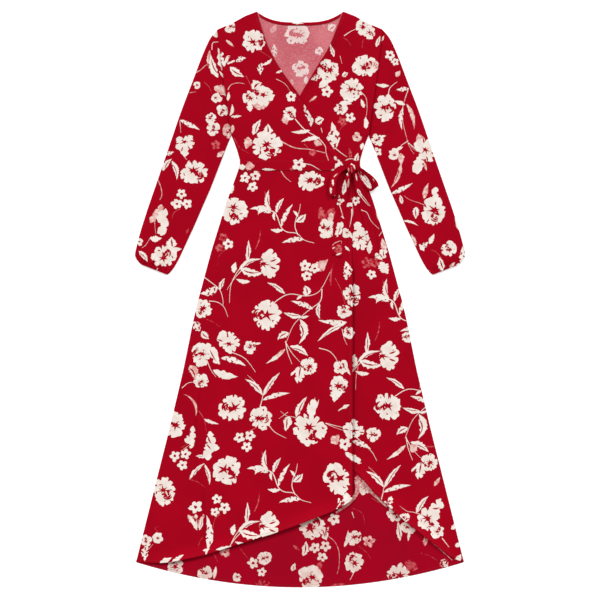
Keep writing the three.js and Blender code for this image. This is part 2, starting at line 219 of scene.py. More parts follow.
def through(stops: Points, steps: int) -> Points:
    """A smooth curve through some points.

    Args:
        stops: the points, one a row.
        steps: how many pieces each stretch is cut into.

    Returns:
        Points on the curve, the first and last stop included.
    """
    stops = np.asarray(stops, float)
    padded = np.vstack([2 * stops[0] - stops[1], stops, 2 * stops[-1] - stops[-2]])
    rows = []
    for i in range(len(stops) - 1):
        a, b, c, d = padded[i:i + 4]
        for t in np.arange(steps) / steps:
            rows.append(0.5 * (2 * b + (c - a) * t + (2 * a - 5 * b + 4 * c - d) * t**2
                               + (3 * b - a - 3 * c + d) * t**3))
    rows.append(stops[-1])
    return np.array(rows)


def table_curve(table: Table, steps: int = 5) -> Points:
    """The smooth plan curve of a table with across and down columns."""
    return through(plan(table["across"], table["down"]), steps)


def run_of(line: Points) -> np.ndarray:
    """Length of a line up to each of its points."""
    return np.r_[0, np.cumsum(np.linalg.norm(np.diff(line, axis=0), axis=1))]


def resample(line: Points, step: float) -> Points:
    """Divides a line into even pieces no longer than a step.

    Args:
        line: its points.
        step: the greatest length of a piece.

    Returns:
        The ends of the pieces.
    """
    lengths = run_of(line)
    count = max(2, int(math.ceil(lengths[-1] / step)) + 1)
    at = np.linspace(0, lengths[-1], count)
    return np.column_stack([np.interp(at, lengths, column) for column in line.T])


def closed(outline: Points) -> Points:
    """An outline with its first point again at its end."""
    return np.vstack([outline, outline[:1]])


def left_of(line: Points, ring: bool = False) -> Points:
    """Steps of length 1 to the left of a line.

    Args:
        line: its points.
        ring: whether its end meets its start.

    Returns:
        The step at each point.
    """
    if ring:
        along = np.roll(line, -1, axis=0) - np.roll(line, 1, axis=0)
    else:
        along = np.gradient(line, axis=0)
    along = along / np.maximum(np.linalg.norm(along, axis=1), 1e-6)[:, None]
    return np.column_stack([-along[:, 1], along[:, 0]])


def signed_area(outline: Points) -> float:
    """Area of a closed outline, negative where it turns to the right."""
    x, y = outline[:, 0], outline[:, 1]
    return float(np.sum(x * np.roll(y, -1) - y * np.roll(x, -1)) / 2)


def nearest_on(line: Points, points: Points) -> tuple[np.ndarray, np.ndarray]:
    """Finds the nearest place on a line of straight pieces.

    Args:
        line: the ends of its pieces.
        points: where from.

    Returns:
        The distance to that place, and the share of the line's length before it.
    """
    lengths = run_of(line)
    best, share = np.full(len(points), np.inf), np.zeros(len(points))
    for start, stop, before, after in zip(line[:-1], line[1:], lengths[:-1], lengths[1:]):
        along = stop - start
        part = np.clip(((points - start) @ along) / max(along @ along, 1e-9), 0, 1)
        gap = np.linalg.norm(points - start - part[:, None] * along, axis=1)
        at = (before + part * (after - before)) / lengths[-1]
        best, share = np.where(gap < best, (gap, at), (best, share))
    return best, share


def distance_to(line: Points, points: Points) -> np.ndarray:
    """Distance from each point to a line of straight pieces."""
    return nearest_on(line, points)[0]


def inside(outline: Points, points: Points) -> np.ndarray:
    """Finds which points lie inside a closed outline.

    Args:
        outline: the outline.
        points: the points.

    Returns:
        True for each point inside.
    """
    result = np.zeros(len(points), bool)
    near = np.flatnonzero(
        (points >= outline.min(0)).all(1) & (points <= outline.max(0)).all(1)
    )
    px, py = points[near, 0], points[near, 1]
    found = np.zeros(len(near), bool)
    for (x0, y0), (x1, y1) in zip(outline, np.roll(outline, -1, axis=0)):
        if y0 != y1:
            crosses = (y0 > py) != (y1 > py)
            found ^= crosses & (px < x0 + (py - y0) * (x1 - x0) / (y1 - y0))
    result[near] = found
    return result


# The print: each motif is a list of closed outlines with their inks, in chart units.
# Places in the chart go to the right and down, and so do angles from 0 to 90 degrees.


@dataclass(frozen=True)
class Shape:
    """One printed shape: its ink, its closed outline in chart units and its middle's blush."""

    ink: Ink
    outline: Points
    blush: float = 0.0


Motif = list[Shape]


def moved(motif: Motif, right: float = 0.0, down: float = 0.0) -> Motif:
    """The same motif at another place of the chart."""
    shift = np.array([right, down])
    return [Shape(shape.ink, shape.outline + shift, shape.blush) for shape in motif]


def round_outline(middle: Sequence[float], radii: np.ndarray, start: float = 0.0) -> Points:
    """A closed outline round a middle through even turns of given radii."""
    turns = start + np.arange(len(radii)) * 2 * np.pi / len(radii)
    return middle + np.column_stack([radii * np.cos(turns), radii * np.sin(turns)])


def lens(
    start: Points, stop: Points, width: float, bend: float, fullness: float, rag: float = 0.0,
) -> Points:
    """A pointed lens along a bent line.

    Args:
        start: the blunt end.
        stop: the tip.
        width: the greatest width.
        bend: how far the middle line bows to one side.
        fullness: where the greatest width lies, from 0 at the start to 1 at the tip.
        rag: how uneven its edges are, as a share of the width.

    Returns:
        The closed outline.
    """
    t = np.linspace(0, 1, 12 if rag == 0 else 17)
    along = stop - start
    normal = np.array([-along[1], along[0]]) / max(np.hypot(*along), 1e-6)
    middle = start + t[:, None] * along + (bend * 4 * t * (1 - t))[:, None] * normal
    half = width / 2 * np.sin(np.pi * t ** (math.log(0.5) / math.log(fullness)))
    rng = np.random.default_rng(int(1000 + abs(start[0] * 7 + stop[1] * 13)))
    left = middle + (half * (1 + rag * rng.uniform(-1, 0.6, len(t))))[:, None] * normal
    right = middle - (half * (1 + rag * rng.uniform(-1, 0.6, len(t))))[:, None] * normal
    return np.vstack([left, right[-2:0:-1]])


def leaf(
    base: Points, tip: Points, width: float, bend: float = 0.0,
    style: LeafStyle = LeafStyle.PLAIN, ink: Ink = Ink.CREAM,
) -> Motif:
    """A leaf or thin petal, whole or broken by a slit or holes in the ground colour.

    Args:
        base: where it starts.
        tip: where it ends.
        width: its greatest width.
        bend: how far it bows to one side.
        style: how it is broken.
        ink: its ink.

    Returns:
        The leaf's shapes.
    """
    shapes = [Shape(ink, lens(base, tip, width, bend, 0.42, 0.32))]
    along = tip - base
    normal = np.array([-along[1], along[0]]) / np.hypot(*along)
    if style is LeafStyle.SLIT:
        start = base + 0.16 * along + 0.14 * width * normal
        stop = base + 0.88 * along - 0.05 * width * normal
        shapes.append(Shape(Ink.GROUND, lens(start, stop, 0.2 * width, bend * 0.8, 0.4, 0.5)))
    if style is LeafStyle.HOLED:
        for share, side in ((0.2, 0.1), (0.33, -0.36), (0.46, 0.3), (0.6, -0.2), (0.76, 0.36)):
            at = base + share * along + (side * width + bend * 4 * share * (1 - share)) * normal
            radii = 0.21 * width * np.array([1.6, 0.4, 0.9, 0.5, 1.3, 0.4, 1.1])
            shapes.append(Shape(Ink.GROUND, round_outline(at, radii, share * 9)))
    return shapes


def slit(start: Points, stop: Points, width: float, bend: float = 0.0) -> Motif:
    """A bare streak of the ground colour inside a flower."""
    return [Shape(Ink.GROUND, lens(start, stop, width, bend, 0.45))]


def stem(*given: Points | float, ink: Ink = Ink.CREAM) -> Motif:
    """A stem, thinner toward its end.

    Args:
        given: the places along it, and last its width.
        ink: its ink.

    Returns:
        The stem's one shape.
    """
    *stops, width = given
    line = through(stops, 4)
    half = 0.28 * width * np.linspace(1, 0.4, len(line))[:, None] * left_of(line)
    return [Shape(ink, np.vstack([line + half, (line - half)[::-1]]))]


def crescent(middle: Points, radius: float, width: float, start: float, sweep: float) -> Shape:
    """A bare stroke bent round a middle, pointed at both ends.

    Args:
        middle: what it bends round.
        radius: from there to its middle line.
        width: its greatest width.
        start: angle of its first end in radians.
        sweep: angle from there to its other end.

    Returns:
        The stroke.
    """
    t = np.linspace(0, 1, 9)
    half = width / 2 * np.sin(np.pi * t) ** 0.7
    turns = start + sweep * t
    rays = np.column_stack([np.cos(turns), np.sin(turns)])
    outer, inner = (middle + (radius + side * half)[:, None] * rays for side in (1, -1))
    return Shape(Ink.GROUND, np.vstack([outer, inner[-2:0:-1]]))


def ragged(outline: Points, bite: float, seed: int) -> Points:
    """The same closed outline with uneven lobes and sharp notches.

    Args:
        outline: the closed outline.
        bite: the greatest depth of its notches.
        seed: picks the lobes and notches.

    Returns:
        The ragged outline.
    """
    rng = np.random.default_rng(seed)
    line = resample(closed(outline), 0.85)[:-1]
    count = len(line)
    inward = left_of(line, ring=True) * math.copysign(1, signed_area(line))
    at = np.arange(count)
    push = np.zeros(count)
    for wave, share in ((19, 0.8), (7, 0.5), (2.6, 0.42)):
        knots = max(3, int(count / wave))
        heights = rng.uniform(-1, 1, knots)
        push += bite * share * np.interp(
            at * knots / count, np.arange(knots + 1), np.r_[heights, heights[0]])
    notches = max(3, int(count / 9))
    for place in (np.arange(notches) + rng.uniform(-0.4, 0.4, notches)) * count / notches:
        gap = np.abs(at - place)
        gap = np.minimum(gap, count - gap)
        push -= bite * rng.uniform(0.2, 1.8) * np.clip(1 - gap / rng.uniform(1.2, 2.6), 0, 1)
    return line - inward * push[:, None]


def petal(base: Points, rim: Points, width: float, seed: int, ink: Ink = Ink.CREAM) -> Motif:
    """A blunt ragged petal.

    Args:
        base: where it starts.
        rim: where it ends.
        width: its greatest width.
        seed: picks its lobes and notches.
        ink: its ink.

    Returns:
        The petal's one shape.
    """
    along = (rim - base) / 2
    side = np.array([-along[1], along[0]]) / np.hypot(*along) * width / 2
    ring = round_outline((0, 0), np.ones(28))
    oval = base + along + ring[:, :1] * along * 1.05 + ring[:, 1:] * side
    return [Shape(ink, ragged(oval, 0.6 + 0.13 * width, seed), 0.4)]


def eye(middle: Points, reach: float, seed: int) -> Motif:
    """A bare eye of uneven thin rays.

    Args:
        middle: its middle.
        reach: length of its longest rays.
        seed: picks its rays.

    Returns:
        The eye's one shape.
    """
    rng = np.random.default_rng(seed)
    rays = 2 * int(rng.integers(5, 8))
    odd = np.arange(rays) % 2 == 1
    spikes = np.where(odd, rng.uniform(0.2, 0.36, rays), rng.uniform(0.5, 1.1, rays))
    outline = round_outline((0, 0), reach * spikes, float(rng.uniform(0, 6)))
    return [Shape(Ink.GROUND, outline * np.array([1.15, 0.85]) + middle)]


def loose(
    middle: Points, radius: float, turn: float, seed: int, ink: Ink = Ink.CREAM,
    count: int = 5, spread: float = 300,
) -> Motif:
    """A half open flower: uneven ragged petals that lean toward one direction.

    Args:
        middle: its middle.
        radius: reach of its longest petal.
        turn: the way it leans, in degrees.
        seed: picks its petals.
        ink: the ink of its petals.
        count: how many petals it has.
        spread: the angle they share, in degrees.

    Returns:
        The flower's shapes.
    """
    rng = np.random.default_rng(seed)
    shapes: Motif = []
    for k in range(count):
        away = (k - (count - 1) / 2) * spread / count
        way = math.radians(turn + away + rng.uniform(-12, 12))
        reach = radius * (1 - abs(away) / 400) * rng.uniform(0.85, 1.1)
        width = radius * rng.uniform(0.62, 0.86)
        shapes += petal(middle, middle + reach * ray(way), width, seed + k, ink)
    shapes += eye(middle, 0.4 * radius, seed + 11)
    for k in range(count - 1):
        way = math.radians(turn + (k - (count - 2) / 2) * spread / count)
        start, stop = (middle + share * radius * ray(way) for share in (0.42, 0.86))
        shapes += slit(start, stop, 0.1 * radius, rng.uniform(-0.06, 0.06) * radius)
    return shapes


def bloom(
    middle: Points, radius: float, seed: int, ink: Ink = Ink.CREAM,
    side: float | None = None, tall: float = 1.0,
) -> Motif:
    """A ragged open flower with a spiky bare eye and a curled bare heart beside it.

    Args:
        middle: its middle.
        radius: its mean reach.
        seed: picks its petals, teeth and strokes.
        ink: the ink of its petals.
        side: where its heart lies from the eye, in degrees.
        tall: height over width.

    Returns:
        The flower's shapes.
    """
    rng = np.random.default_rng(seed)
    stretch = np.array([1 / math.sqrt(tall), math.sqrt(tall)])
    ring = round_outline((0, 0), np.full(40, 0.88 * radius)) * stretch + middle
    shapes = [Shape(ink, ragged(ring, 0.5 + 0.15 * radius, seed), 0.7)]
    side = rng.uniform(0, 2 * np.pi) if side is None else math.radians(side)
    star = middle - 0.1 * radius * ray(side)
    shapes += eye(star, radius * 0.52, seed + 7)
    if radius < 6:
        return shapes
    heart = star + 0.42 * radius * ray(side)
    arcs = 2 if radius < 11 else 3
    for k in range(arcs):
        start = side + rng.uniform(-1.9, -1.0) + 0.5 * k
        shapes.append(crescent(heart, radius * (0.1 + 0.13 * k),
                               radius * rng.uniform(0.1, 0.16), start, rng.uniform(1.5, 2.6)))
    for k in range(arcs + 2):
        at = star + rng.uniform(0.15, 0.65) * radius * ray(side)
        at = at + radius * rng.uniform(-0.2, 0.2, 2)
        blot = radius * rng.uniform(0.04, 0.2, 7)
        shapes.append(Shape(Ink.GROUND, round_outline(at, blot, 3 * k)))
    for k in range(4):
        turn = side + math.pi * (0.3 + 0.45 * k) + rng.uniform(-0.3, 0.3)
        start = middle + radius * rng.uniform(0.5, 0.75) * ray(turn)
        stop = start + radius * rng.uniform(-0.3, 0.3, 2)
        shapes += slit(stop, start, radius * rng.uniform(0.06, 0.12),
                       radius * rng.uniform(-0.12, 0.12))
    return shapes


def small_flower(middle: Points, radius: float, seed: int, ink: Ink = Ink.CREAM) -> Motif:
    """A small flower of five blunt petals round a bare dot.

    Args:
        middle: its middle.
        radius: its mean reach.
        seed: picks its petals.
        ink: the ink of its petals.

    Returns:
        The flower's shapes.
    """
    rng = np.random.default_rng(seed)
    turns = np.arange(40) * 2 * np.pi / 40
    reach = 0.6 + 0.42 * np.abs(np.cos(2.5 * turns + rng.uniform(0, 3)))
    reach *= np.repeat(rng.uniform(0.88, 1.12, 10), 4)
    reach += rng.uniform(-0.05, 0.05, 40)
    dot = rng.uniform(0.16, 0.34, 11)
    return [
        Shape(ink, round_outline(middle, radius * reach)),
        Shape(Ink.GROUND, round_outline(middle, radius * dot)),
    ]


def three_small(middle: Points, seed: int) -> Motif:
    """Three small flowers in a close group."""
    places = (((-6.5, -2.5), 5.4), ((4, -4.5), 5.2), ((1, 6.5), 5.0))
    return [shape for k, (offset, radius) in enumerate(places)
            for shape in small_flower(middle + np.array(offset), radius, seed + k)]


def fan(
    base: Points, radius: float, turn: float, spread: float, seed: int, ink: Ink = Ink.CREAM,
) -> Motif:
    """A flower seen from its side: ragged petals that open toward one direction.

    Args:
        base: where its petals meet.
        radius: length of its petals.
        turn: the way it opens, in degrees.
        spread: its whole angle in degrees.
        seed: picks its petals.
        ink: the ink of its petals.

    Returns:
        The flower's shapes.
    """
    rng = np.random.default_rng(seed)
    count = max(3, int(round(spread / 26)))
    ring = [base]
    for k in range(count):
        for part, share in ((0.2, 0.86), (0.5, 1.0), (0.8, 0.92), (1.0, 0.66)):
            way = math.radians(turn + ((k + part) / count - 0.5) * spread)
            ring.append(base + radius * share * rng.uniform(0.92, 1.06) * ray(way))
    shapes = [Shape(ink, ragged(np.array(ring[:-1]), 0.1 * radius + 0.4, seed))]
    for k in range(1, count):
        way = math.radians(turn + (k / count - 0.5) * spread * 0.86 + rng.uniform(-3, 3))
        start = base + rng.uniform(0.25, 0.4) * radius * ray(way)
        shapes += slit(start, base + 0.85 * radius * ray(way), 0.085 * radius,
                       radius * rng.uniform(-0.04, 0.04))
    return shapes


KINDS: dict[str, Callable[..., Motif]] = {
    "leaf": leaf, "petal": petal, "slit": slit, "stem": stem, "bloom": bloom,
    "small": small_flower, "trio": three_small, "fan": fan, "loose": loose,
}
MARKS = {
    "slit": ("style", LeafStyle.SLIT), "holed": ("style", LeafStyle.HOLED),
    "blush": ("ink", Ink.BLUSH), "rose": ("ink", Ink.ROSE),
}


def number(word: str) -> float:
    """A number of the chart, whole where it is written whole."""
    return float(word) if "." in word else int(word)


def charted(rows: str) -> Motif:
    """Draws the motifs of a chart in its rows' order.

    Args:
        rows: one motif a row: its kind, its places as right,down, its sizes, angles and seed
            in the order its function takes them, and its style, its ink or a size by name.

    Returns:
        Their shapes.
    """
    motif: Motif = []
    for row in rows.strip().splitlines():
        kind, *words = row.split()
        given: list[Points | float] = []
        named: dict[str, object] = {}
        for word in words:
            if word in MARKS:
                named.update([MARKS[word]])
            elif "=" in word:
                key, value = word.split("=")
                named[key] = number(value)
            else:
                parts = [number(part) for part in word.split(",")]
                given.append(np.array(parts) if len(parts) == 2 else parts[0])
        motif += KINDS[kind](*given, **named)
    return motif


# Motifs of several shapes, which a chart may move to the right and down
GROUPS = {
    # A forked branch with slit and holed leaves
    "leafy_branch": """
leaf 265.5,209 264.5,191 2.6 1.5 rose
leaf 271,212 269,190 5.5 -3 slit
leaf 276,213 284,198 4.6 -1.2 slit
leaf 271,213 250,209 6 2.4 holed
leaf 269,210 258,215 6.5 4
leaf 274,212 275,221 2.6 0.8
stem 269,210 276,214 281,227 287,232 297,233.5 304,240 314,243 1.9
leaf 281,227 293,204 4.6 -1.5 holed
leaf 283,230 270.5,229.5 4 -1
stem 298,235 295,227 296,219 299,212 300.5,204 1.6
leaf 296,222 306,214 6.5 1 slit
leaf 298,217 293,210.5 2.8 0.5
leaf 304,239.5 282,243 5 1.5 holed
""",
    # A flower seen from the side on a bundle of leaves and a long stem
    "spray": """
leaf 255,250 260.5,229 1.3 1.5 rose
loose 263,264 17.5 0 61 count=3 spread=120
petal 262,262 271,251 8 66
leaf 240,268 263,273 8.5 2.5 slit
leaf 239,269 262,259 4.2 -2.5 slit
leaf 241,267 255,258.5 2 -2
leaf 247,262 248.5,240 5 0.8 slit
leaf 234,273 236,262 5.5 -1
stem 246,264 238,271 232,282 230,291 229.5,303 1.4
stem 242,270 234,279 227,290 1.2
leaf 250,281.5 236,279 4.4 -1.2
""",
    # A long bowed stem that forks into holed and slit leaves
    "arc_branch": """
stem 271,306 279,299 290,294 306,296 317,293 323,286 330,272 1.6
leaf 285,294 267,282.5 4.6 1.5 slit
leaf 306,296 305,285.5 8.5 1.5 slit
leaf 302,296 296.5,300 2.6 0.5
stem 322,289 320.5,301 311,308.5 302,316 293,326 286,343 1.6
leaf 313,309 291,301 5.2 1 holed
leaf 319.5,303 320,319 4.6 2 slit
leaf 302,317 283.5,312.5 5 -1 slit
leaf 301,318 309,316 2.8
leaf 300,319 299,344 8 -5 slit
leaf 289,333 277.5,339.5 6.5 1.5 slit
""",
    # A large side flower with a round lobe on two stems
    "lily": """
leaf 285,349 266,363.5 4.4 -1
leaf 284,350 276,357 3.6 blush
stem 285.5,341 287.5,352 292,364 1.5
stem 286,343 292,353 300,362 1.4
leaf 290,346 308,356 6.5 -2 slit
bloom 309,367 10 71 side=150
petal 302,364 298,382 9 72
petal 300,366 292,375 5 73
slit 301,366 299,378 1.4 0.3
slit 298,362 305,369 1.6 0.5
""",
    # Three narrow leaves on one short stem
    "leaf_trio": """
leaf 262.5,395 245,379 5.4 2 slit
stem 262,391 254,381 247.5,375 0.9
leaf 263,396 280,372.5 5 -1.5 slit
leaf 262.5,400 290,393 4.6 -1.5 holed
stem 260,407 262,400 263,393 1.7
""",
    # The largest flower, with a crest, a leaf and a bud beside it
    "great_bloom": """
petal 310,417 314,401 6.5 82
leaf 308,414 308.5,403 3.4 0.4
leaf 313,412 319,399 2 0.6
leaf 312,412 315,397 1.8 0.3
bloom 310,428.5 17 84 side=62
leaf 296,417 307,396.5 6 -1.5 slit
stem 300,421 294,417 287,416 280.5,411 1
stem 288,412 279,418.5 0.9
leaf 289,416 285.5,431 8.6 slit
""",
    # A thin forked branch with a holed leaf
    "edge_branch": """
stem 204,277 212,283 220,290 223,300 223,306 1.5
leaf 220,290 225,278 4.2 -1 slit
leaf 218,287 200,293.5 7.5 -2 holed
stem 209,301 217,302 224,307 228,317 1.3
""",
}
for group_name, group_rows in GROUPS.items():
    KINDS[group_name] = partial(moved, charted(group_rows))

# The print on the wearer's right front skirt
RIGHT_SKIRT_PRINT = charted("""
leaf 258,175 255,169.5 7 rose
trio 251.5,180.5 11
stem 281,171 285,177 291,182 1
bloom 311,180.5 13.6 312 side=0 tall=0.8
leaf 228,194 234,185 6
bloom 234,209 14.5 13 side=80
leafy_branch
petal 325,224 321,209 8 14 rose
petal 328,223 332.5,208.5 7.5 15 rose
petal 329,222 332,212 5 18 blush
bloom 326.8,228.5 9.8 15 side=200 tall=1.25
petal 333,234 342,222 9 16
petal 344,206 354,204.5 5 60
leaf 352,198 358,203 5
stem 351.8,209 351.6,217 349.6,227 1.8
bloom 346.5,233 5 61
leaf 349,231 353,239 3 0.6
leaf 345,246 350,251 2.6 0.5
small 223.5,237.5 4.8 17 rose
small 228.5,244 5.4 18
small 219.5,248 4.2 19 rose
stem 225,250 219,256 217,265 0.9 rose
spray
small 305,266 5.8 20
leaf 311,268 328,259 10 3 blush
small 314.5,268.5 5.2 21
small 307,276 5.2 22
leaf 346,280 345.5,261 9 2 holed
bloom 265,315 16.5 23 side=180
arc_branch
leaf 331,286 333.5,263 2 -1.5 rose
stem 335,278 341,290 345,304 0.9 rose
edge_branch
bloom 203,309 10.5 24
leaf 200,331 189,322 8 2 holed
stem 206,319 213,322 220,327 0.8 rose
leaf 202,331 209,339 7 1 slit
bloom 352.5,295.5 12.5 25 side=45 tall=1.2
bloom 343.5,311 8.6 26 side=-90
leaf 347,322 318,320 5.2 -1.5 holed
leaf 346,323 317.5,341.5 4.8 2 slit
bloom 348,332 7 27
stem 342,329 344,338 347,345 1
stem 319,348 329,351 335,357 338,363 1.5
bloom 341,367 7.5 28
bloom 339,386 11.5 29
leaf 335,388 334,402 10 -1
leaf 338,411 346,406.5 1.5 -0.5
leaf 342.5,408.5 349.5,404.5 3.6 -0.5
leaf 346,366 350.5,375 2.6 0.6
loose 229,344 15 -70 30
stem 231,352 243,357 250,364 255.5,372 1.4
bloom 250.5,347 7.3 32 side=-20
leaf 255,344 261,343 2.4
petal 208,344 219,365 8 33
bloom 201,354 11.5 34 side=180 tall=1.2
slit 210,349 217,362 1.2 0.8
leaf 213,370 238,376.5 8 2
stem 207,360 211,370 216,377 1.2
leaf 221,358 246,366 6 -2 holed
bloom 201.5,382 8 35
leaf 190,365 195,380 9 -2 slit blush
stem 182,388 188,383 194,382 1.3
lily
leaf_trio
bloom 233,408 15.5 36 side=180
bloom 260,418 13 37 side=0
stem 268,424 275,432 286,438 1.4
leaf 196,416 184,394 2.6 5 blush
stem 199,411 204,419 206.5,431 1.1 rose
leaf 204,419 219,424 3.4 0.6
bloom 174,425 14 38 side=180 tall=1.2
petal 191,447 193.5,426 5 62
petal 185,437 194,441 9 63
stem 181,451 188,446 194,443 0.9 blush
stem 181,448 187,444 0.8 rose
petal 210,453 210.5,431 9 39
petal 208,449 219,446.5 7 40
petal 209,443 208,458 8 41
slit 208,436 211.5,444 1.6 0.5
slit 206,444 211,450 1.4 -0.5
leaf 204.5,457.5 196,456 3.6 0.6 slit
stem 247,432 255,428 259,424 1.4 rose
trio 246,440 40
trio 181.5,458.5 43
great_bloom
stem 325,423 335,427.5 346,431 1.2 blush
stem 326,423 337,426 352,429 1.2
loose 354,431 13 -80 109
leaf 331,443 339,434.5 9 1 blush
small 345,444 6.4 46
leaf 345,452 354,462 5 -1
bloom 226,470 15 47 side=35
bloom 164,491 14 48 side=40 tall=1.35
leaf 189.5,479 205,463 4 -1.5 slit
leaf 204.5,464 209.5,485 4 -1.6 slit
stem 189,479 198,482 206,488 0.9 rose
leafy_branch -3 259.5
small 217,499 4.8 49
small 224.5,507.5 5.6 50
small 215,512 4.6 51
stem 220,514 215,519 213,528 1.1 rose
fan 198,531 18 -96 70 63 blush
leaf 197,530 189,516 4.2 0.8
leaf 199.5,530 202.5,515.5 3.6 0.4 slit
stem 203,537 200,541 198,547 0.8 rose
small 195.7,507 6.6 52
leaf 208,549 206.5,515 7 2.6 holed
leaf 203,550 210,548 2.6 0.4
leaf 206,554 208,547 2.2
bloom 337.5,478 16 53 side=190 tall=1.1
leaf 346,492 349,508 9
fan 335,509 13 -50 60 54
spray -1 262
bloom 158,537.5 5.8 55
bloom 146,541 6.4 56
stem 158,531 155,528 159,526 0.8 rose
leaf 147,545 145,561 7 1 holed
stem 149,549 153,544 1 blush
leaf 160,563 172,557 5
leaf 172,562 184,554 4
leaf 216,549 236,546 4
""")

# The print on the wearer's left front skirt, which the wrap edge cuts
LEFT_SKIRT_PRINT = charted("""
stem 352,205 352.5,214 350,223 346,231 2.2
small 346,233 4.5 100
small 355.6,200.8 4.4 97
stem 357,190 364,198 370,206 1.3
leaf 357.5,189 361.5,198 3.4 slit
leaf 355.5,174 357,182 1.4
stem 360,196 365,202 369,206 1.4
stem 361,210 367,213 371,221 379,229 1.1
leaf 379,221 376,209 2.4 blush
stem 379,236 384,229 1.4 blush
petal 361,240 357,222 9 98
loose 360,238 13 60 101
leaf 369,254 370,240 5
leaf 385,252 382,238 6 blush
fan 385,262 13 -115 90 102
leaf 380,262 388,274 10
small 366.5,263 5.4 103 rose
small 374,263 5.4 104 rose
small 371.5,274.5 4.8 105
bloom 352.5,295.5 12.5 25 side=45 tall=1.2
leafy_branch 118 88.5
bloom 348,332 7 27
bloom 406,337 7 106
spray 119 92
bloom 352,362 6 107
arc_branch 119 95
bloom 386.5,406 15.5 108 side=170
leaf 417,362 421,368 4 blush
leaf 420,388 426,380 6 slit blush
loose 354,431 13 -80 109
stem 356,437 365,445 372,452 377,461 1.5
leaf 352,441 371,449 5.5 -1 holed
bloom 373,434.5 7.6 110 side=0
petal 348,455 362,463 7 111
stem 358,367 356,378 355.5,390 1 blush
lily 120.5 96
leaf 411,452 417,443 8 blush
leaf 423,446 440,445 1.4 1 rose
leaf_trio 121 92
fan 380,502 13 0 70 112
petal 430,518 440,500 13 114
bloom 428,519 13 115 side=50
bloom 437.5,531 7.5 116 side=-60
slit 432,508 440,507 1.6 1
leaf 416,513 428.5,496 5.4 -1.5 slit
stem 420,514 413,512 407,511 400,506 1
leaf 408,513 404.5,522 6 slit
bloom 404,517 6 113
leaf 434,486 440,477 4 blush
leaf 448,487 445,477 4 blush
stem 442,538 449,547 1.6
leaf 451,529 459,523 5
leaf 455,546 462,543 5
leaf 456,562 461,554 6
""")

# The print as it shows on the inside of the back skirt, under both front hems, with painted shade
# beside the hems
# The wide blush stems just below the front hems (the rows from 357,480, 356,476.5 and 432,542) are
# painted shade. They stand in for the turned hem's underside, and their dull beige is painted
# shadow on the back skirt.
BACK_SKIRT_PRINT_AND_HEM_SHADE = charted("""
bloom 311,527 15 120
small 334,519 6 121
fan 326,541 15 -100 60 122
stem 328,536 335,542 339,552 339,566 337,574 1.3 blush
trio 321.5,550.5 123
leaf 318,570 321,561 6 rose
leaf 303,556 306,541 7 1 slit
bloom 355,537 9 126
leaf 344,547 348,530 4 1.5
small 369,541 6 127 blush
stem 359,546 366,552 371,559 1 rose
bloom 354,562 11 128
stem 354,572 350,580 1.3
bloom 311,578 13 129
leaf 292,571 295,563 5 slit
bloom 399,576 14 130
leaf 405,562 418,569 11 1 rose
bloom 365,487 8 131
stem 372,498 380,503 384,501 1.2 rose
bloom 395,514 8 132
bloom 408,527 8 133
leaf 400,541 398,521 5 slit
leaf 408,541 410,527 3
leaf 441,560 448,567 9 holed
stem 421,553 430,556 438,561 1.2 rose
leaf 425,546 426,533 5 blush
bloom 264,558 7.5 134
small 253,563 5.4 135
small 262,572 4.6 136
fan 262,590 11 -90 110 137 rose
leaf 293,545 300,551 3 rose
bloom 205,573 8 138
leaf 214,579 216,566 4
bloom 237,577 5.5 139
stem 239,547 246,556 250,562 1 rose
bloom 225,552 5.5 140 blush
stem 214,554 218,562 1.2 rose
bloom 175,566 9 141
stem 357,480 357,492 349,503 336,513 9 blush
stem 356,476.5 365,486 375,495.8 387,507 8 blush
stem 432,542 441,550 452,560 2 blush
stem 352,508 362,513 365,524 0.9 rose
stem 352,512 354,518 1.5
leaf 327,590 345,583 6 rose
""")

# The print on the wearer's right front bodice
RIGHT_BODICE_PRINT = charted("""
bloom 231,26.5 6.4 150
bloom 254,42 12.5 151 side=10
stem 258,50 265,54 272,59 1.1 rose
leaf 272,59 261,65 3.4 -1.5
leaf 262,63 260.5,75 5.5 1 holed
leaf 226,40 234,47 3 blush
fan 222,68 16 -60 90 152
leaf 230,67 244,77 7.5 1 slit
leaf 236,62 246,58 5 -1 holed
leaf 276,73 284,70.5 2.4
leaf 252,89 262,83 9 -2 slit
leaf 252,104 270,102 8 3 blush
bloom 262,95 11.5 153 side=180
bloom 250,98 8 154
leaf 250,104 250,112 6
stem 276,79 285,84 291,93 1.1 blush
small 291,97 5.4 155
leaf 284,116 287,125 7 blush
bloom 290,113.5 9 156
stem 228,90 231,85 238,83 245,84 1.4 blush
leaf 230,116 232,104 3.4 1.5
leaf 231,117 242,116 3 holed
leaf 228,101 229,92 3.6
stem 246,76 250,84 252,92 1 rose
leaf 253,135 261,119.5 6.5 -1 slit
leaf 248,137 246,149 8 -1 blush
leaf 266,136 268,124 9 1 slit
bloom 267.5,146 16 163 side=60
leaf 233,125 232,134 3.5 blush
stem 234,138 240,148 250,154 0.9 rose
stem 295,119 305,130 318,138 325,146 326,153 329,162 1.7
leaf 310,130.5 291,132 4.2 -1
leaf 320,138 301,142 4.4 1.2
leaf 314,141 322,145 6.5 blush
stem 282,142 295,148 310,149.5 325,153 1.9 blush
leaf 309,154 317,151 7 rose
stem 304,144 309,149 1 rose
small 299,165 6.4 158
stem 303,163.5 312,165.5 321,171 1.5
leaf 240,168 246,166 5
leaf 245,168 254,166 9 blush
leaf 334.4,156.4 337,161 2.8 0.2
leaf 337.5,159.4 343.6,166 2.8 0.5
leaf 305,104 311,127 9 -2 holed
leaf 303,100 317,96 2.6 1.5 blush
leaf 304,108 309,103 5 blush
""")

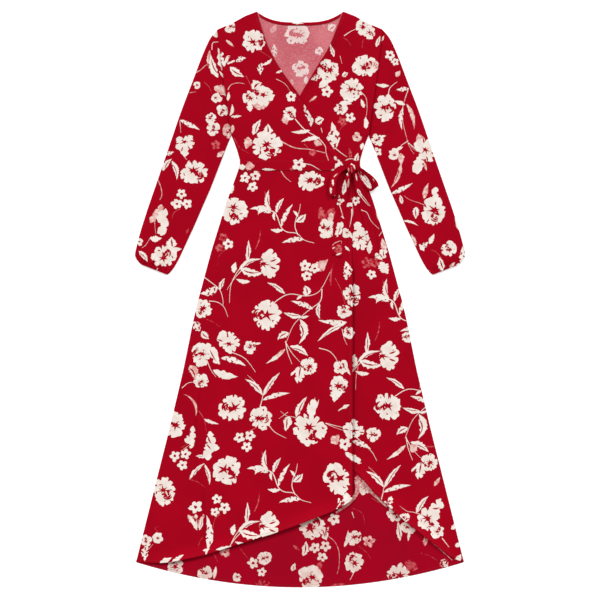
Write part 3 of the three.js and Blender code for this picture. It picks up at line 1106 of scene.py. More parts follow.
# The print on the wearer's left front bodice
LEFT_BODICE_PRINT = charted("""
bloom 363,27 8 170
bloom 370,33 7 171
stem 344,36 350,32 356,29 1.5
stem 342,37 348,41 351,46 1.1 rose
stem 363,40 362,48 1 rose
leaf 376,47 380,36 4 slit
leaf 334,57 330,44 4 slit
stem 340,56 342,64 1.2 blush
bloom 329,70 12.5 172 side=200
leaf 321,76 311,80 6 holed
leaf 328,80 319,88 8
small 327,92 5.6 173
leaf 342,76 348,73 5 slit
bloom 352,90 11.5 174 side=20
small 354,94 4.2 175
bloom 365,67 12.5 176 side=-40
fan 372,70 10 -60 130 177 blush
stem 361,92 366,98 367,108 366,118 1.3 blush
leaf 364,108 361,99 4
leaf 366,129 365.5,117 5
leaf 339,104 352,104 5 -1
bloom 340,109 7.5 178
small 350,118 5 179
small 342,121.5 4.4 180 rose
stem 346,124 341,128 339,134 1 rose
leaf 315,122 324,119 8 slit
stem 321,128 323,136 323,145 1.3
leaf 333,151 332,122 11 1.5 holed
leaf 330,138 326,139 5
stem 335,148 341,153 347,157 1.5
leaf 317,96 309,102 2.4 blush
bloom 357,137 4.8 181 blush
leaf 363,143 361,150 4
leaf 350,160 349,148 3.4 0.8 slit rose
stem 345,161 349,159 354,159 1.6
leaf 357,165 359,161 3.6 blush
leaf 355,163 358,153 5 slit
leaf 334.4,156.4 337,161 2.8 0.2
leaf 337.5,159.4 343.6,166 2.8 0.5
""")

# The print as it shows through on the wrong side of the back bodice
INNER_BACK_PRINT = charted("""
bloom 298,35 12.5 190
bloom 300,68 9 191
bloom 319,50.5 5 192
leaf 271,33 277,24 6 blush
leaf 275,57 274,44 6 holed
leaf 328,30 336,25 8 slit
leaf 291,86 292,79 5 blush
leaf 306,84 306,76 5
leaf 295,17 300,14 5 blush
leaf 320,22 325,27 2 blush
""")

# The print on the wearer's right sleeve
RIGHT_SLEEVE_PRINT = charted("""
leaf 213,36 220,31 8
stem 212,50 213,43 220,42 1.5
leaf 208,65 210,50 4 slit blush
leaf 218,78 211,55 7.5 -2 slit
leaf 224,72 218,48 9 1
leaf 222,62 231,55 5
stem 194,74 201,70 207,65 212,70 1.3 blush
leaf 226,79 219,71 3
bloom 197,85 4.6 200
stem 190,93 196,92 1.2 blush
stem 204,82 209,87 212,93 0.9 rose
leaf 214,87 227,97 9 -2 blush
bloom 216,98 5.5 201
bloom 223,111 6.6 202
bloom 210.5,118 6.2 203 side=-60
bloom 213.5,129.5 7.8 204 side=-80
bloom 228,132 6.2 206 blush tall=1.5
small 216,145 4.4 207 rose
leaf 217,157 225,151 5 blush
leaf 180,120 200,130 4.6 holed
stem 180,121 181,133 1.5 blush
loose 184.5,142 12.5 80 208
leaf 166,155 174,152 4 holed
stem 183,155 187,160 1.2
leaf 163,171 172,159 5.5 -1.5 slit
leaf 172,161 177,180 5 -2 slit
bloom 194.5,171.5 14.6 209 side=30 tall=0.84
stem 158,180 161,187 162,195 160,200 1.5 blush
small 181.5,194 5 210
small 177,204 5.4 211
small 187,204 5.2 212
stem 180,209 174,213 172,219 1.1 rose
petal 150,222 163,206 7 213 blush
petal 162,222 165,211 9 215
petal 160,215 167,226 8 216
petal 166,222 160,235 7 217
stem 155,213 155,225 156,234 1.3 blush
leaf 150,238 162,238 6 1
stem 151,237 146,245 142,248 1.2 blush
bloom 140,242 4.5 214
leaf 139,251 148,262 5 -1 slit
leaf 171,249 172,237 10 slit
bloom 164,257 12.5 215 side=-60
leaf 170,250 182,249 5
stem 158,268 155,274 1.8
leaf 186,234 189,228 2.4 rose
""")

# The print on the wearer's left sleeve
LEFT_SLEEVE_PRINT = charted("""
leaf 380,42 384,36 3
small 390,55.5 5 220
small 395,62 4 221
leaf 396,77 400,71 5 blush
leaf 389,86 375,84 4 -1
stem 388,96 390,88 397,82 1.6
leaf 409,89 396,90 4.4 holed
stem 408,90 404,102 402,112 403,124 406,136 408,144 1.5 blush
leaf 405,105 394,101 4.4
leaf 406,104 414,130 4 -2.5 blush
leaf 403,108 402,130 4.4 2 holed
bloom 385,108 13 222 side=0 tall=1.3
bloom 377,140 6.6 223
leaf 380,137 386,136 2.4
small 377.5,152 4.6 224
stem 408,141 402,145 398,149 1.3
bloom 394,155 5.8 225
leaf 396,150 403,147 3.4
leaf 400,153 401.5,165 6.5 blush
leaf 416,140 424,138 10 blush
stem 408,143 413,147 418,152 1.6
loose 425,150 15 -10 226
petal 420,156 415,172 10 236
leaf 424,162 426.5,171 2.6 blush
stem 408,144 411,150 414,154 0.9 blush
stem 409,143 413,149 418,152 0.9 blush
leaf 401,163 391,188 4.4 -2 slit blush
leaf 391,194 413,183 4.4 0.6 holed
bloom 434.5,211.5 14.6 81 side=80 tall=1.3
petal 433,200 435,188 7 229
leaf 424,199 428.5,183 5 -1 blush
stem 424,205 419,203 410,200 404,196 1 blush
leaf 416,207 415.5,219 6.6 slit
leaf 402,204 400,195 4 slit
leaf 403,221 418,226 2.6 -1.5
leaf 421,248 428,242 5 holed
leaf 424,251 419,244 4
leaf 429,244 434,234 5
bloom 449,249 8.6 228
leaf 442,271 439.5,257 7 slit
stem 441,258 436,252 431,250 0.8 rose
leaf 462,266 462.5,246 6.5 holed
leaf 449,268 455,262 3 blush
leaf 456,265 463,263 2.2
leaf 460,231 455,216 5
leaf 416,246 411,234 4 blush
""")

# The print on the free end that lies over the upper wrap skirt
RIGHT_TAIL_PRINT = charted("""
leaf 342.8,195 344.6,180 4.6 0.6
slit 343.4,192 344.2,184 0.7 0.2
leaf 346.5,171 348,177 2.4 0.3
leaf 347.8,188 348.6,179 2.2 blush
loose 339,202 5 0 250
leaf 339,198 337,194 2.4 0.3
stem 339,204 341,210 343,217 1.6
leaf 341,216 344.5,219 1.2
petal 336.4,237 341,222 7.5 251
slit 338,234 340.5,226 0.8 0.2
stem 332,246 335,243 341,241 341.5,244 1.2 blush
leaf 331.5,249 335.5,247 1.4 blush
bloom 338.5,249.5 4.4 252 rose
leaf 336,255 342,253 1.8
""")

# The print on the wearer's right loop, along and across its ribbon
RIGHT_LOOP_PRINT = charted("""
petal 74,3 90,4 7 262 blush
petal 95,-6 112,-3 8 263
petal 116,4 132,-1 7 264
leaf 136,-2 150,3 4 blush
leaf 20,-3 38,2 6 1
leaf 46,0 60,-4 5
""")

# The print on the wearer's left loop, along and across its ribbon
LEFT_LOOP_PRINT = charted("""
petal 16,-3.5 58,-5 9 260
petal 22,5 59,5 9 261
slit 24,-4 52,-6 1 0.4
leaf 8,3 16,1 2.5
stem 4,-2 14,-6 24,-8 1.6
leaf 100,-2 112,3 4 0.5 rose
""")

# The print on the waistband
WAISTBAND_PRINT = charted("""
leaf 239,168 246,166.5 6
leaf 245,167 255,166 9 blush
leaf 262,169.5 276,170 2.4
small 299,165 6.4 158
stem 303,163.5 312,165.5 321,171 1.5
leaf 340,163 335,169.8 5 0.6
leaf 337.5,159.4 343.6,166 2.8 0.5
leaf 331,171 335,169.5 2.4
leaf 293,171 290,168 3 rose
""")

# The print on the knot, and a rose streak down its middle pleat (the last row) that is a painted
# highlight
KNOT_PRINT_AND_HIGHLIGHT = charted("""
leaf 350,163 353,166 1.6 0.3
leaf 353.5,165 355,170 1.5 0.2
leaf 348,168 349,173 1.3 0.2 blush
leaf 351.3,167 351.6,173 1.6 0.2 rose
""")

# The print on the neck binding
BINDING_PRINT = charted("leaf 292,23 304,23.6 2")


Socket = bpy.types.NodeSocket
Given = Socket | float | tuple[float, ...]
Inputs = dict[str | int, Given]


class Bench:
    """Adds nodes to one tree and joins them."""

    def __init__(self, tree: bpy.types.NodeTree) -> None:
        """Takes the tree."""
        self.tree = tree

    def feed(self, node: bpy.types.Node, inputs: Inputs) -> None:
        """Fills some inputs of a node.

        Args:
            node: the node.
            inputs: by the input's name or place, a socket that feeds it or its value.
        """
        for name, given in inputs.items():
            if isinstance(given, bpy.types.NodeSocket):
                self.tree.links.new(given, node.inputs[name])
            else:
                node.inputs[name].default_value = given

    def add(
        self, kind: str, inputs: Inputs | None = None, **settings: str,
    ) -> bpy.types.bpy_prop_collection:
        """Adds a node.

        Args:
            kind: its type.
            inputs: what fills its inputs.
            settings: its own settings.

        Returns:
            Its outputs.
        """
        node = self.tree.nodes.new(kind)
        for name, setting in settings.items():
            setattr(node, name, setting)
        self.feed(node, inputs or {})
        return node.outputs

    def noise(self, place: Socket, scale: float, detail: float) -> Socket:
        """A noise, its scale per metre."""
        inputs = {"Vector": place, "Scale": scale, "Detail": detail}
        return self.add("ShaderNodeTexNoise", inputs)["Fac"]

    def spread(self, value: Socket, low: float, high: float, top: float = 1.0) -> Socket:
        """A value stretched from low and high to 0 and the top."""
        inputs = {"Value": value, "From Min": low, "From Max": high, "To Max": top}
        return self.add("ShaderNodeMapRange", inputs)["Result"]

    def mixed(self, share: Socket, first: Given, second: Given) -> Socket:
        """A colour between two others."""
        inputs = {"Factor": share, "A": first, "B": second}
        return self.add("ShaderNodeMix", inputs, data_type="RGBA")["Result"]

    def threads(self, place: Socket, axis: str, scale: float) -> Socket:
        """Fine parallel threads across one axis, a little uneven."""
        inputs = {"Vector": place, "Scale": scale, "Distortion": 1.2}
        return self.add("ShaderNodeTexWave", inputs, bands_direction=axis)["Fac"]

    def bump(self, height: Socket, strength: float, below: Socket | None = None) -> Socket:
        """A bump 0.2 mm deep.

        Args:
            height: its height.
            strength: how much of it shows.
            below: the bump it lies on.

        Returns:
            The bumped normal.
        """
        inputs = {"Height": height, "Strength": strength, "Distance": 0.2 * MM}
        if below is not None:
            inputs["Normal"] = below
        return self.add("ShaderNodeBump", inputs)["Normal"]


def shaded(name: str) -> tuple[bpy.types.Material, Bench, bpy.types.Node]:
    """Makes a material of nodes.

    Args:
        name: its name.

    Returns:
        The material, its bench and its shader.
    """
    material = bpy.data.materials.new(name)
    material.use_nodes = True
    return material, Bench(material.node_tree), material.node_tree.nodes["Principled BSDF"]


@dataclass(frozen=True)
class CrepeFinish:
    """Woven crepe with its inks, for one side of the cloth.

    Args:
        colours: the colour of each ink and its lighter or darker cloudiness.
        blushed: what the cream turns to where the print blushes.
        mottle: how strongly pale threads show on it.
        cloud_scales: how fine each ink's cloudiness is, per metre.
        thread_scale: how fine its threads are, about half a millimetre apart.
        cloud_range: noise below the first is the main colour, above the second the cloud's.
        speck_range: noise below the first shows no pale thread, above the second all of it.
    """

    title: str
    colours: dict[Ink, tuple[Rgb, Rgb]]
    blushed: Rgb
    mottle: float = 0.0
    roughness: float = 0.82
    cloud_scales: tuple[float, ...] = (9.0, 70.0, 130.0, 130.0)
    mottle_scale: float = 560.0
    grain_scale: float = 1400.0
    thread_scale: float = 620.0
    cloud_range: tuple[float, float] = (0.38, 0.62)
    speck_range: tuple[float, float] = (0.46, 0.66)
    grain_strength: float = 0.16
    weave_strength: float = 0.12
    sheen: float = 0.05

    def material(self, ink: Ink) -> bpy.types.Material:
        """Makes or finds the material of one ink."""
        name = f"{self.title}_{ink.name.lower()}"
        return bpy.data.materials.get(name) or self._build(name, ink, *self.colours[ink])

    def _build(self, name: str, ink: Ink, main: Rgb, cloud: Rgb) -> bpy.types.Material:
        """Builds the nodes: clouded ink, crossed threads and crepe grain.

        Args:
            name: the material's name.
            ink: the ink it shows.
            main: the ink's colour.
            cloud: the colour of its clouds.

        Returns:
            The material.
        """
        material, bench, shader = shaded(name)
        place = bench.add("ShaderNodeTexCoord")["Object"]
        clouds = bench.noise(place, self.cloud_scales[ink.value], 4.0)
        share = bench.spread(clouds, *self.cloud_range)
        colour = bench.mixed(share, srgb(*main), srgb(*cloud))
        if ink is Ink.CREAM:
            share = bench.add("ShaderNodeAttribute", attribute_name="blush")["Fac"]
            colour = bench.mixed(share, colour, srgb(*self.blushed))
        if self.mottle > 0 and ink is Ink.GROUND:
            specks = bench.noise(place, self.mottle_scale, 3.0)
            share = bench.spread(specks, *self.speck_range, self.mottle)
            colour = bench.mixed(share, colour, srgb(*self.blushed))
        warp, weft = (bench.threads(place, axis, self.thread_scale) for axis in "XY")
        weave = bench.add("ShaderNodeMath", {0: warp, 1: weft}, operation="MAXIMUM")[0]
        grain = bench.bump(bench.noise(place, self.grain_scale, 2.0), self.grain_strength)
        bench.feed(shader, {
            "Base Color": colour,
            "Roughness": self.roughness,
            "Specular IOR Level": self.sheen,
            "Normal": bench.bump(weave, self.weave_strength, grain),
        })
        return material


OUTSIDE = CrepeFinish("printed_crepe", {
    Ink.GROUND: ((167, 0, 27), (160, 0, 25)),
    Ink.CREAM: ((244, 235, 227), (236, 222, 212)),
    Ink.BLUSH: ((238, 214, 204), (218, 150, 144)),
    Ink.ROSE: ((212, 104, 106), (172, 20, 40)),
}, (226, 205, 193))
SHOW_THROUGH = CrepeFinish("crepe_wrong_side", {
    Ink.GROUND: ((196, 88, 100), (212, 112, 121)),
    Ink.CREAM: ((236, 216, 211), (229, 203, 198)),
    Ink.BLUSH: ((228, 176, 174), (218, 146, 148)),
    Ink.ROSE: ((214, 126, 132), (209, 115, 123)),
}, (228, 190, 188), mottle=0.34)
SKIRT_INSIDE = CrepeFinish("skirt_inside", {
    Ink.GROUND: ((163, 0, 30), (155, 2, 30)),
    Ink.CREAM: ((236, 220, 211), (224, 198, 189)),
    Ink.BLUSH: ((232, 192, 182), (196, 88, 96)),
    Ink.ROSE: ((200, 86, 92), (166, 16, 38)),
}, (214, 176, 166))


@dataclass(frozen=True)
class Crease:
    """A soft ridge, or a trough where its height is negative, along a line.

    Args:
        stops: across and down of its line.
        height: rise in millimetres.
        half_width: reach to each side.
        fade_in: share of its length over which it starts.
        fade_out: share of its length over which it ends.
    """

    stops: tuple[tuple[float, float], ...]
    height: float
    half_width: float
    fade_in: float = 0.15
    fade_out: float = 0.5

    def line(self, step: float) -> Points:
        """Its line in plan."""
        across, down = np.array(self.stops, float).T
        return resample(through(plan(across, down), 6), step)

    def support(self) -> Points:
        """Finds points along and across it, close enough to show its form.

        Returns:
            The points.
        """
        line = self.line(max(2.0, self.half_width * 0.6))
        offsets = np.linspace(-1, 1, 7) * self.half_width
        return np.vstack([line + offset * left_of(line) for offset in offsets])

    def rise(self, points: Points) -> np.ndarray:
        """Its height at some points.

        Args:
            points: where.

        Returns:
            The height at each.
        """
        gap, share = nearest_on(self.line(12.0), points)
        ridge = np.where(gap < self.half_width, (1 + np.cos(np.pi * gap / self.half_width)) / 2, 0)
        return self.height * ridge * (
            smooth(share / self.fade_in) * smooth((1 - share) / self.fade_out))


def total_rise(creases: Sequence[Crease], points: Points) -> np.ndarray:
    """The heights of a piece's creases added up."""
    return sum((crease.rise(points) for crease in creases), np.zeros(len(points)))


def carried(across: np.ndarray, inner_edge: np.ndarray) -> np.ndarray:
    """Share by which the upper front is carried on the under front."""
    return smooth((across - inner_edge + DROP_MARGIN + DROP_RUN) / DROP_RUN)


@dataclass(frozen=True)
class Cut:
    """Cut cloth, flat or bent.

    Args:
        points: its points.
        faces: its faces, by their corners' numbers.
        ink: the ink of each face.
        blush: how far the print blushes at each point.
    """

    points: Points
    faces: np.ndarray
    ink: np.ndarray
    blush: np.ndarray


@dataclass
class CutCloth:
    """Cloth cut along an outline, with the print's edges as edges of its triangles.

    Args:
        outline: the closed outline in plan, in millimetres.
        motif: the print in chart units, or none.
        step: spacing of the points between the edges.
        rows: distances from the outline at which points follow it.
        chart: how the print's chart is placed.
        creases: the creases that get points of their own.
        crease_clear: how far from the outline the creases' points stay.
        blush_share: how far a flower's blush reaches, as a share of its radius.
    """

    outline: Points
    motif: Motif = field(default_factory=list)
    step: float = 9.0
    rows: tuple[float, ...] = (1.2, 3.0, 6.0)
    chart: Callable[[Points], Points] = from_chart
    creases: Sequence[Crease] = ()
    edge_step: float = 5.0
    crease_clear: float = 0.8
    blush_share: float = 0.85

    def cut(self) -> Cut:
        """Triangulates the cloth along its outline and its print.

        Returns:
            The flat cut.
        """
        edge = resample(closed(self.outline), self.edge_step)[:-1]
        low, high = edge.min(0) - 4, edge.max(0) + 4
        placed = [Shape(s.ink, self.chart(s.outline), s.blush) for s in self.motif]
        shapes = [s for s in placed
                  if (s.outline.max(0) > low).all() and (s.outline.min(0) < high).all()]
        points: list[Vector] = []
        edges: list[tuple[int, int]] = []
        for loop in (edge, *(shape.outline for shape in shapes)):
            base, count = len(points), len(loop)
            points.extend(Vector(p) for p in loop.tolist())
            edges.extend((base + i, base + (i + 1) % count) for i in range(count))
        points.extend(Vector(p) for p in self._filling(edge).tolist())
        flat, _, faces, *_ = geometry.delaunay_2d_cdt(points, edges, [], 0, 1e-3, False)
        flat = np.array([tuple(p) for p in flat])
        faces = np.array([tuple(f) for f in faces])
        kept = inside(edge, flat[faces].mean(1))
        used, corners = np.unique(faces[kept], return_inverse=True)
        flat, faces = flat[used], corners.reshape(-1, 3)
        middles = flat[faces].mean(1)
        ink = np.zeros(len(faces), int)
        blush = np.zeros(len(flat))
        for shape in shapes:
            ink[inside(shape.outline, middles)] = shape.ink.value
            if shape.blush > 0:
                reach = math.sqrt(abs(signed_area(shape.outline)) / math.pi)
                gap = np.linalg.norm(flat - shape.outline.mean(0), axis=1) / reach
                fade = np.clip(1 - gap / self.blush_share, 0, 1)
                blush = np.maximum(blush, shape.blush * fade)
        return Cut(flat, faces, ink, blush)

    def _filling(self, edge: Points) -> Points:
        """Points inside the cloth: an even lattice, and rows that follow its lines.

        Args:
            edge: the cloth's edge in even pieces.

        Returns:
            The points.
        """
        low, high = edge.min(0), edge.max(0)
        ys = np.arange(low[1], high[1], self.step * math.sqrt(3) / 2)
        xs = np.arange(low[0], high[0], self.step)
        lattice = np.vstack([
            np.column_stack([xs + (k % 2) * self.step / 2, np.full(len(xs), y)])
            for k, y in enumerate(ys)
        ])
        inward = left_of(edge, ring=True) * math.copysign(1, signed_area(edge))
        groups = [(lattice, max(self.rows) + self.step * 0.4)]
        groups += [(edge + row * inward, row * 0.9) for row in self.rows]
        if self.creases:
            support = np.vstack([crease.support() for crease in self.creases])
            groups.append((support, self.crease_clear))
        kept = []
        for points, clear in groups:
            points = points[inside(edge, points)]
            kept.append(points[distance_to(closed(edge), points) > clear])
        return np.vstack(kept)


def linked(name: str, data: bpy.types.ID) -> bpy.types.Object:
    """Puts a new object in the scene.

    Args:
        name: its name.
        data: its mesh, light or camera.

    Returns:
        The object.
    """
    made = bpy.data.objects.new(name, data)
    bpy.context.scene.collection.objects.link(made)
    return made


def apply_modifiers(made: bpy.types.Object) -> None:
    """Turns an object's modifiers into its plain mesh.

    Args:
        made: the object.
    """
    evaluated = made.evaluated_get(bpy.context.evaluated_depsgraph_get())
    mesh = bpy.data.meshes.new_from_object(evaluated)
    made.modifiers.clear()
    made.data = mesh


def dress(
    node: str, cut: Cut, sides: tuple[CrepeFinish, CrepeFinish],
    offset: float = -1.0,
) -> None:
    """Makes a cloth piece, rides it on the dress, hides the solid it stands for and logs its face
    count.

    Args:
        node: the solid it stands for.
        cut: its bent cloth in millimetres.
        sides: the finish of the side that faces up and of the other side.
        offset: -1 where the wall goes below the points, 0 where they are in its middle.
    """
    name = f"{node}_cloth"
    mesh = bpy.data.meshes.new(name)
    mesh.from_pydata((cut.points * MM).tolist(), [], cut.faces.tolist())
    for material in (side.material(ink) for side in sides for ink in Ink):
        mesh.materials.append(material)
    mesh.polygons.foreach_set("material_index", cut.ink.astype(np.int32))
    mesh.polygons.foreach_set("use_smooth", np.ones(len(mesh.polygons), bool))
    mesh.attributes.new("blush", "FLOAT", "POINT").data.foreach_set("value", cut.blush)
    mesh.update()
    made = linked(name, mesh)
    solid = made.modifiers.new("wall", "SOLIDIFY")
    solid.thickness = CLOTH * MM
    solid.offset = offset
    solid.use_quality_normals = False
    solid.material_offset = len(Ink)
    apply_modifiers(made)
    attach(made, "root")
    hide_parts(node)
    LOG.info("%s: %d faces", name, len(made.data.polygons))


@dataclass
class Panel:
    """A flat panel of the dress, laid at its height.

    Args:
        node: the solid it stands for.
        outline: its cut in plan.
        motif: its print.
        height: the height of its upper face at each point.
        sides: finish of the side that faces up and of the other side.
        rests_on: the nodes or pieces it lies on; not used.
        step: spacing of its points.
        strip: width and length of its cut where it's a bent strip; not used.
        creases: the creases of its height, which get points of their own.
    """

    node: str
    outline: Points
    motif: Motif
    height: Callable[[Points], np.ndarray]
    sides: tuple[CrepeFinish, CrepeFinish] = (OUTSIDE, SHOW_THROUGH)
    rests_on: tuple[str, ...] = ()
    slot: str = "printed_cloth"
    step: float = 9.0
    strip: tuple[float, float] | None = None
    creases: tuple[Crease, ...] = ()

    def build(self) -> None:
        """Cuts, lays and dresses the panel."""
        cut = CutCloth(self.outline, self.motif, self.step, creases=self.creases).cut()
        laid = np.column_stack([cut.points, self.height(cut.points)])
        dress(self.node, Cut(laid, cut.faces, cut.ink, cut.blush), self.sides)


def back_height(points: Points) -> np.ndarray:
    """The backs lie flat on the floor."""
    return np.full(len(points), BACK_TOP)


@dataclass
class Bodice:
    """The two wrap fronts, the back and the neck binding. A side is -1 or 1, as its X is."""

    armhole_lap: float = 0.9
    armhole_lift: float = 5.0
    armhole_reach: float = 8.0
    armhole_share: float = 0.35
    armhole_run: float = 200.0
    neck_lift: float = 4.0
    neck_reach: float = 8.0
    neck_lift_end: tuple[float, float] = (340.0, 205.0)
    neck_lift_run: float = 40.0
    binding_base: float = 0.5
    binding_bulge: float = 0.7
    creases: tuple[Crease, ...] = (
        Crease(((60, 330), (92, 352), (113, 372)), 2.6, 7, 0.4, 0.2),
        Crease(((20, 300), (70, 342), (108, 376)), 2.2, 7, 0.4, 0.2),
        Crease(((150, 330), (142, 352), (136, 374)), 2.4, 6, 0.4, 0.2),
    )

    def neck_edge(self, side: int) -> Points:
        """The neck edge of one wrap front, from shoulder to waist."""
        return table_curve(RIGHT_NECK_EDGE if side < 0 else LEFT_NECK_EDGE)

    def edge_rise(self, points: Points, side: int) -> np.ndarray:
        """How far the armhole seam and the open neck edge stand proud.

        Args:
            points: where.
            side: which wrap front.

        Returns:
            The rise at each point.
        """
        down = down_of(points)
        armhole = plan([side * SHOULDER_HALF, side * ARMPIT_HALF], [SHOULDER_END, ARMPIT])
        toward_armpit = smooth((down - SHOULDER_END) / self.armhole_run)
        deep = self.armhole_share + (1 - self.armhole_share) * toward_armpit
        seam = self.armhole_lift * deep * bell(distance_to(armhole, points), self.armhole_reach)
        end = self.neck_lift_end[0 if side < 0 else 1]
        run = self.neck_lift_run
        share = smooth((down - 8) / run) * smooth((end - down) / run)
        gap = distance_to(self.neck_edge(side), points)
        return seam + self.neck_lift * share * bell(gap, self.neck_reach)

    def front_outline(self, side: int) -> Points:
        """The outline of one wrap front, from shoulder to waist.

        Args:
            side: which wrap front.

        Returns:
            The closed outline.
        """
        downs = np.array([SHOULDER_END, ARMPIT, 322, 341, 355, 366, WAIST_SEAM])
        reach = side_half(downs) + np.where(downs <= ARMPIT, self.armhole_lap, -SEAM_GAP)
        shoulder = plan(side * np.array(SHOULDER["across"]), SHOULDER["down"])
        edge = self.neck_edge(side)[::-1]
        return np.vstack([shoulder[:-1], plan(side * reach, downs), edge[:-1]])

    def right_height(self, points: Points) -> np.ndarray:
        """Height of the upper wrap front.

        Args:
            points: where.

        Returns:
            The height at each point.
        """
        inner = read(LEFT_NECK_EDGE, "down", "across", down_of(points))
        level = UNDER_FRONT + LAYER * carried(points[:, 0], inner) + TOP_OF_WALL
        return level + self.edge_rise(points, -1) + total_rise(self.creases[:2], points)

    def left_height(self, points: Points) -> np.ndarray:
        """Height of the under wrap front."""
        level = UNDER_FRONT + TOP_OF_WALL
        return level + self.edge_rise(points, 1) + total_rise(self.creases[2:], points)

    def back_outline(self) -> Points:
        """Joins the shoulders, the back neckline and the side seams.

        Returns:
            The closed outline.
        """
        reach = np.array(SHOULDER["across"])
        half = np.r_[reach[::-1], np.linspace(100, -100, 15), -reach]
        downs = np.array([ARMPIT, 341, 366, WAIST_SEAM])
        right, left = (plan(side * side_half(downs), downs) for side in (-1, 1))
        return np.vstack([plan(half, shoulder_down(half)), right, left[::-1]])

    def binding_height(self, points: Points) -> np.ndarray:
        """Height of the binding, rounded over its width.

        Args:
            points: where.

        Returns:
            The height at each point.
        """
        into = (down_of(points) - shoulder_down(points[:, 0])) / BINDING_WIDTH
        bulge = np.sqrt(np.clip(1 - (2 * into - 1) ** 4, 0, 1))
        return LAYER + self.binding_base + self.binding_bulge * bulge

    def build(self) -> None:
        """Builds the bodice's pieces."""
        Panel("back_bodice", self.back_outline(), INNER_BACK_PRINT, back_height,
              (SHOW_THROUGH, OUTSIDE), slot="cloth_inside").build()
        Panel("left_front_bodice", self.front_outline(1), LEFT_BODICE_PRINT, self.left_height,
              rests_on=("back_bodice",), creases=self.creases[2:]).build()
        Panel("right_front_bodice", self.front_outline(-1), RIGHT_BODICE_PRINT,
              self.right_height, rests_on=("left_front_bodice", "back_bodice"),
              creases=self.creases[:2]).build()
        across = np.linspace(-BINDING_HALF, BINDING_HALF, 60)
        upper = plan(across, shoulder_down(across))
        lower = plan(across[::-1], shoulder_down(across[::-1]) + BINDING_WIDTH)
        Panel("back_neck_binding", np.vstack([upper, lower]), BINDING_PRINT,
              self.binding_height, (OUTSIDE, OUTSIDE), ("back_bodice",), "plain_trim", 4.0,
              (BINDING_CUT, run_of(upper)[-1])).build()


@dataclass
class Skirt:
    """The two wrap fronts and the back of the skirt."""

    hem_lip: float = 9.0
    hem_reach: float = 15.0
    wrap_edge_end: float = 1196.0
    lifted_wrap_edge: float = 640.0
    lip_run: float = 90.0
    upper_creases: tuple[Crease, ...] = (
        Crease(((97, 394), (84, 470), (72, 600)), 3.0, 11, 0.08, 0.6),
        Crease(((117, 394), (112, 520), (108, 680)), 3.4, 9, 0.08, 0.6),
        Crease(((-246, 905), (-258, 1010), (-257, 1075)), 3.6, 5, 0.3, 0.12),
        Crease(((-262, 1080), (-247, 1140), (-239, 1190), (-236, 1330)), 3.6, 5, 0.12, 0.2),
        Crease(((-60, 560), (-90, 900), (-120, 1290)), 1.4, 48, 0.3, 0.3),
    )
    under_creases: tuple[Crease, ...] = (
        Crease(((153, 394), (162, 520), (176, 660)), 3.2, 12, 0.08, 0.6),
        Crease(((200, 640), (236, 950), (272, 1270)), 1.6, 36, 0.3, 0.3),
    )

    def side_seam(self, side: int) -> Points:
        """One side seam, from the waist to the hem."""
        downs = np.r_[WAIST_SEAM, 392, 405, 432, np.linspace(464, 1345, 22)]
        return plan(side * side_half(downs), downs)

    def right_outline(self) -> Points:
        """The outline of the upper wrap skirt."""
        edge = plan([WRAP_EDGE, WRAP_EDGE], [self.wrap_edge_end, WAIST_SEAM])
        return np.vstack([self.side_seam(-1), table_curve(RIGHT_SKIRT_HEM)[:-1], edge])

    def left_outline(self) -> Points:
        """The outline of the under wrap skirt."""
        corner = plan([UNDER_WRAP_EDGE], [WAIST_SEAM])
        return np.vstack([corner, table_curve(LEFT_SKIRT_HEM), self.side_seam(1)[::-1]])

    def lip(self, hem: Points, points: Points) -> np.ndarray:
        """The free hem lifts a little off what it lies on."""
        return self.hem_lip * bell(distance_to(hem, points), self.hem_reach)

    def right_height(self, points: Points) -> np.ndarray:
        """Height of the upper wrap skirt.

        Args:
            points: where.

        Returns:
            The height at each point.
        """
        level = UNDER_FRONT + LAYER * carried(points[:, 0], UNDER_WRAP_EDGE) + TOP_OF_WALL
        hem = np.vstack([table_curve(RIGHT_SKIRT_HEM), plan([WRAP_EDGE], [self.lifted_wrap_edge])])
        lip = smooth((points[:, 0] + HEM_HALF) / self.lip_run) * self.lip(hem, points)
        return level + total_rise(self.upper_creases, points) + lip

    def left_height(self, points: Points) -> np.ndarray:
        """Height of the under wrap skirt.

        Args:
            points: where.

        Returns:
            The height at each point.
        """
        shown = smooth((points[:, 0] - WRAP_EDGE - 8) / 30)
        fade = shown * smooth((HEM_HALF - points[:, 0]) / self.lip_run)
        lip = fade * self.lip(table_curve(LEFT_SKIRT_HEM), points)
        return UNDER_FRONT + TOP_OF_WALL + total_rise(self.under_creases, points) + lip

    def top(self, points: Points) -> np.ndarray:
        """Height of the skirt's uppermost cloth."""
        beyond = smooth((points[:, 0] - WRAP_EDGE - 1) / 12)
        return self.right_height(points) * (1 - beyond) + self.left_height(points) * beyond

    def build(self) -> None:
        """Builds the skirt's pieces."""
        back = np.vstack([self.side_seam(-1), back_hem(40), self.side_seam(1)[::-1]])
        Panel("back_skirt", back, BACK_SKIRT_PRINT_AND_HEM_SHADE, back_height, (SKIRT_INSIDE, OUTSIDE),
              slot="cloth_inside").build()
        Panel("left_front_skirt", self.left_outline(), LEFT_SKIRT_PRINT, self.left_height,
              (OUTSIDE, SKIRT_INSIDE), ("back_skirt",), creases=self.under_creases).build()
        Panel("right_front_skirt", self.right_outline(), RIGHT_SKIRT_PRINT, self.right_height,
              (OUTSIDE, SKIRT_INSIDE), ("left_front_skirt", "back_skirt"),
              creases=self.upper_creases).build()


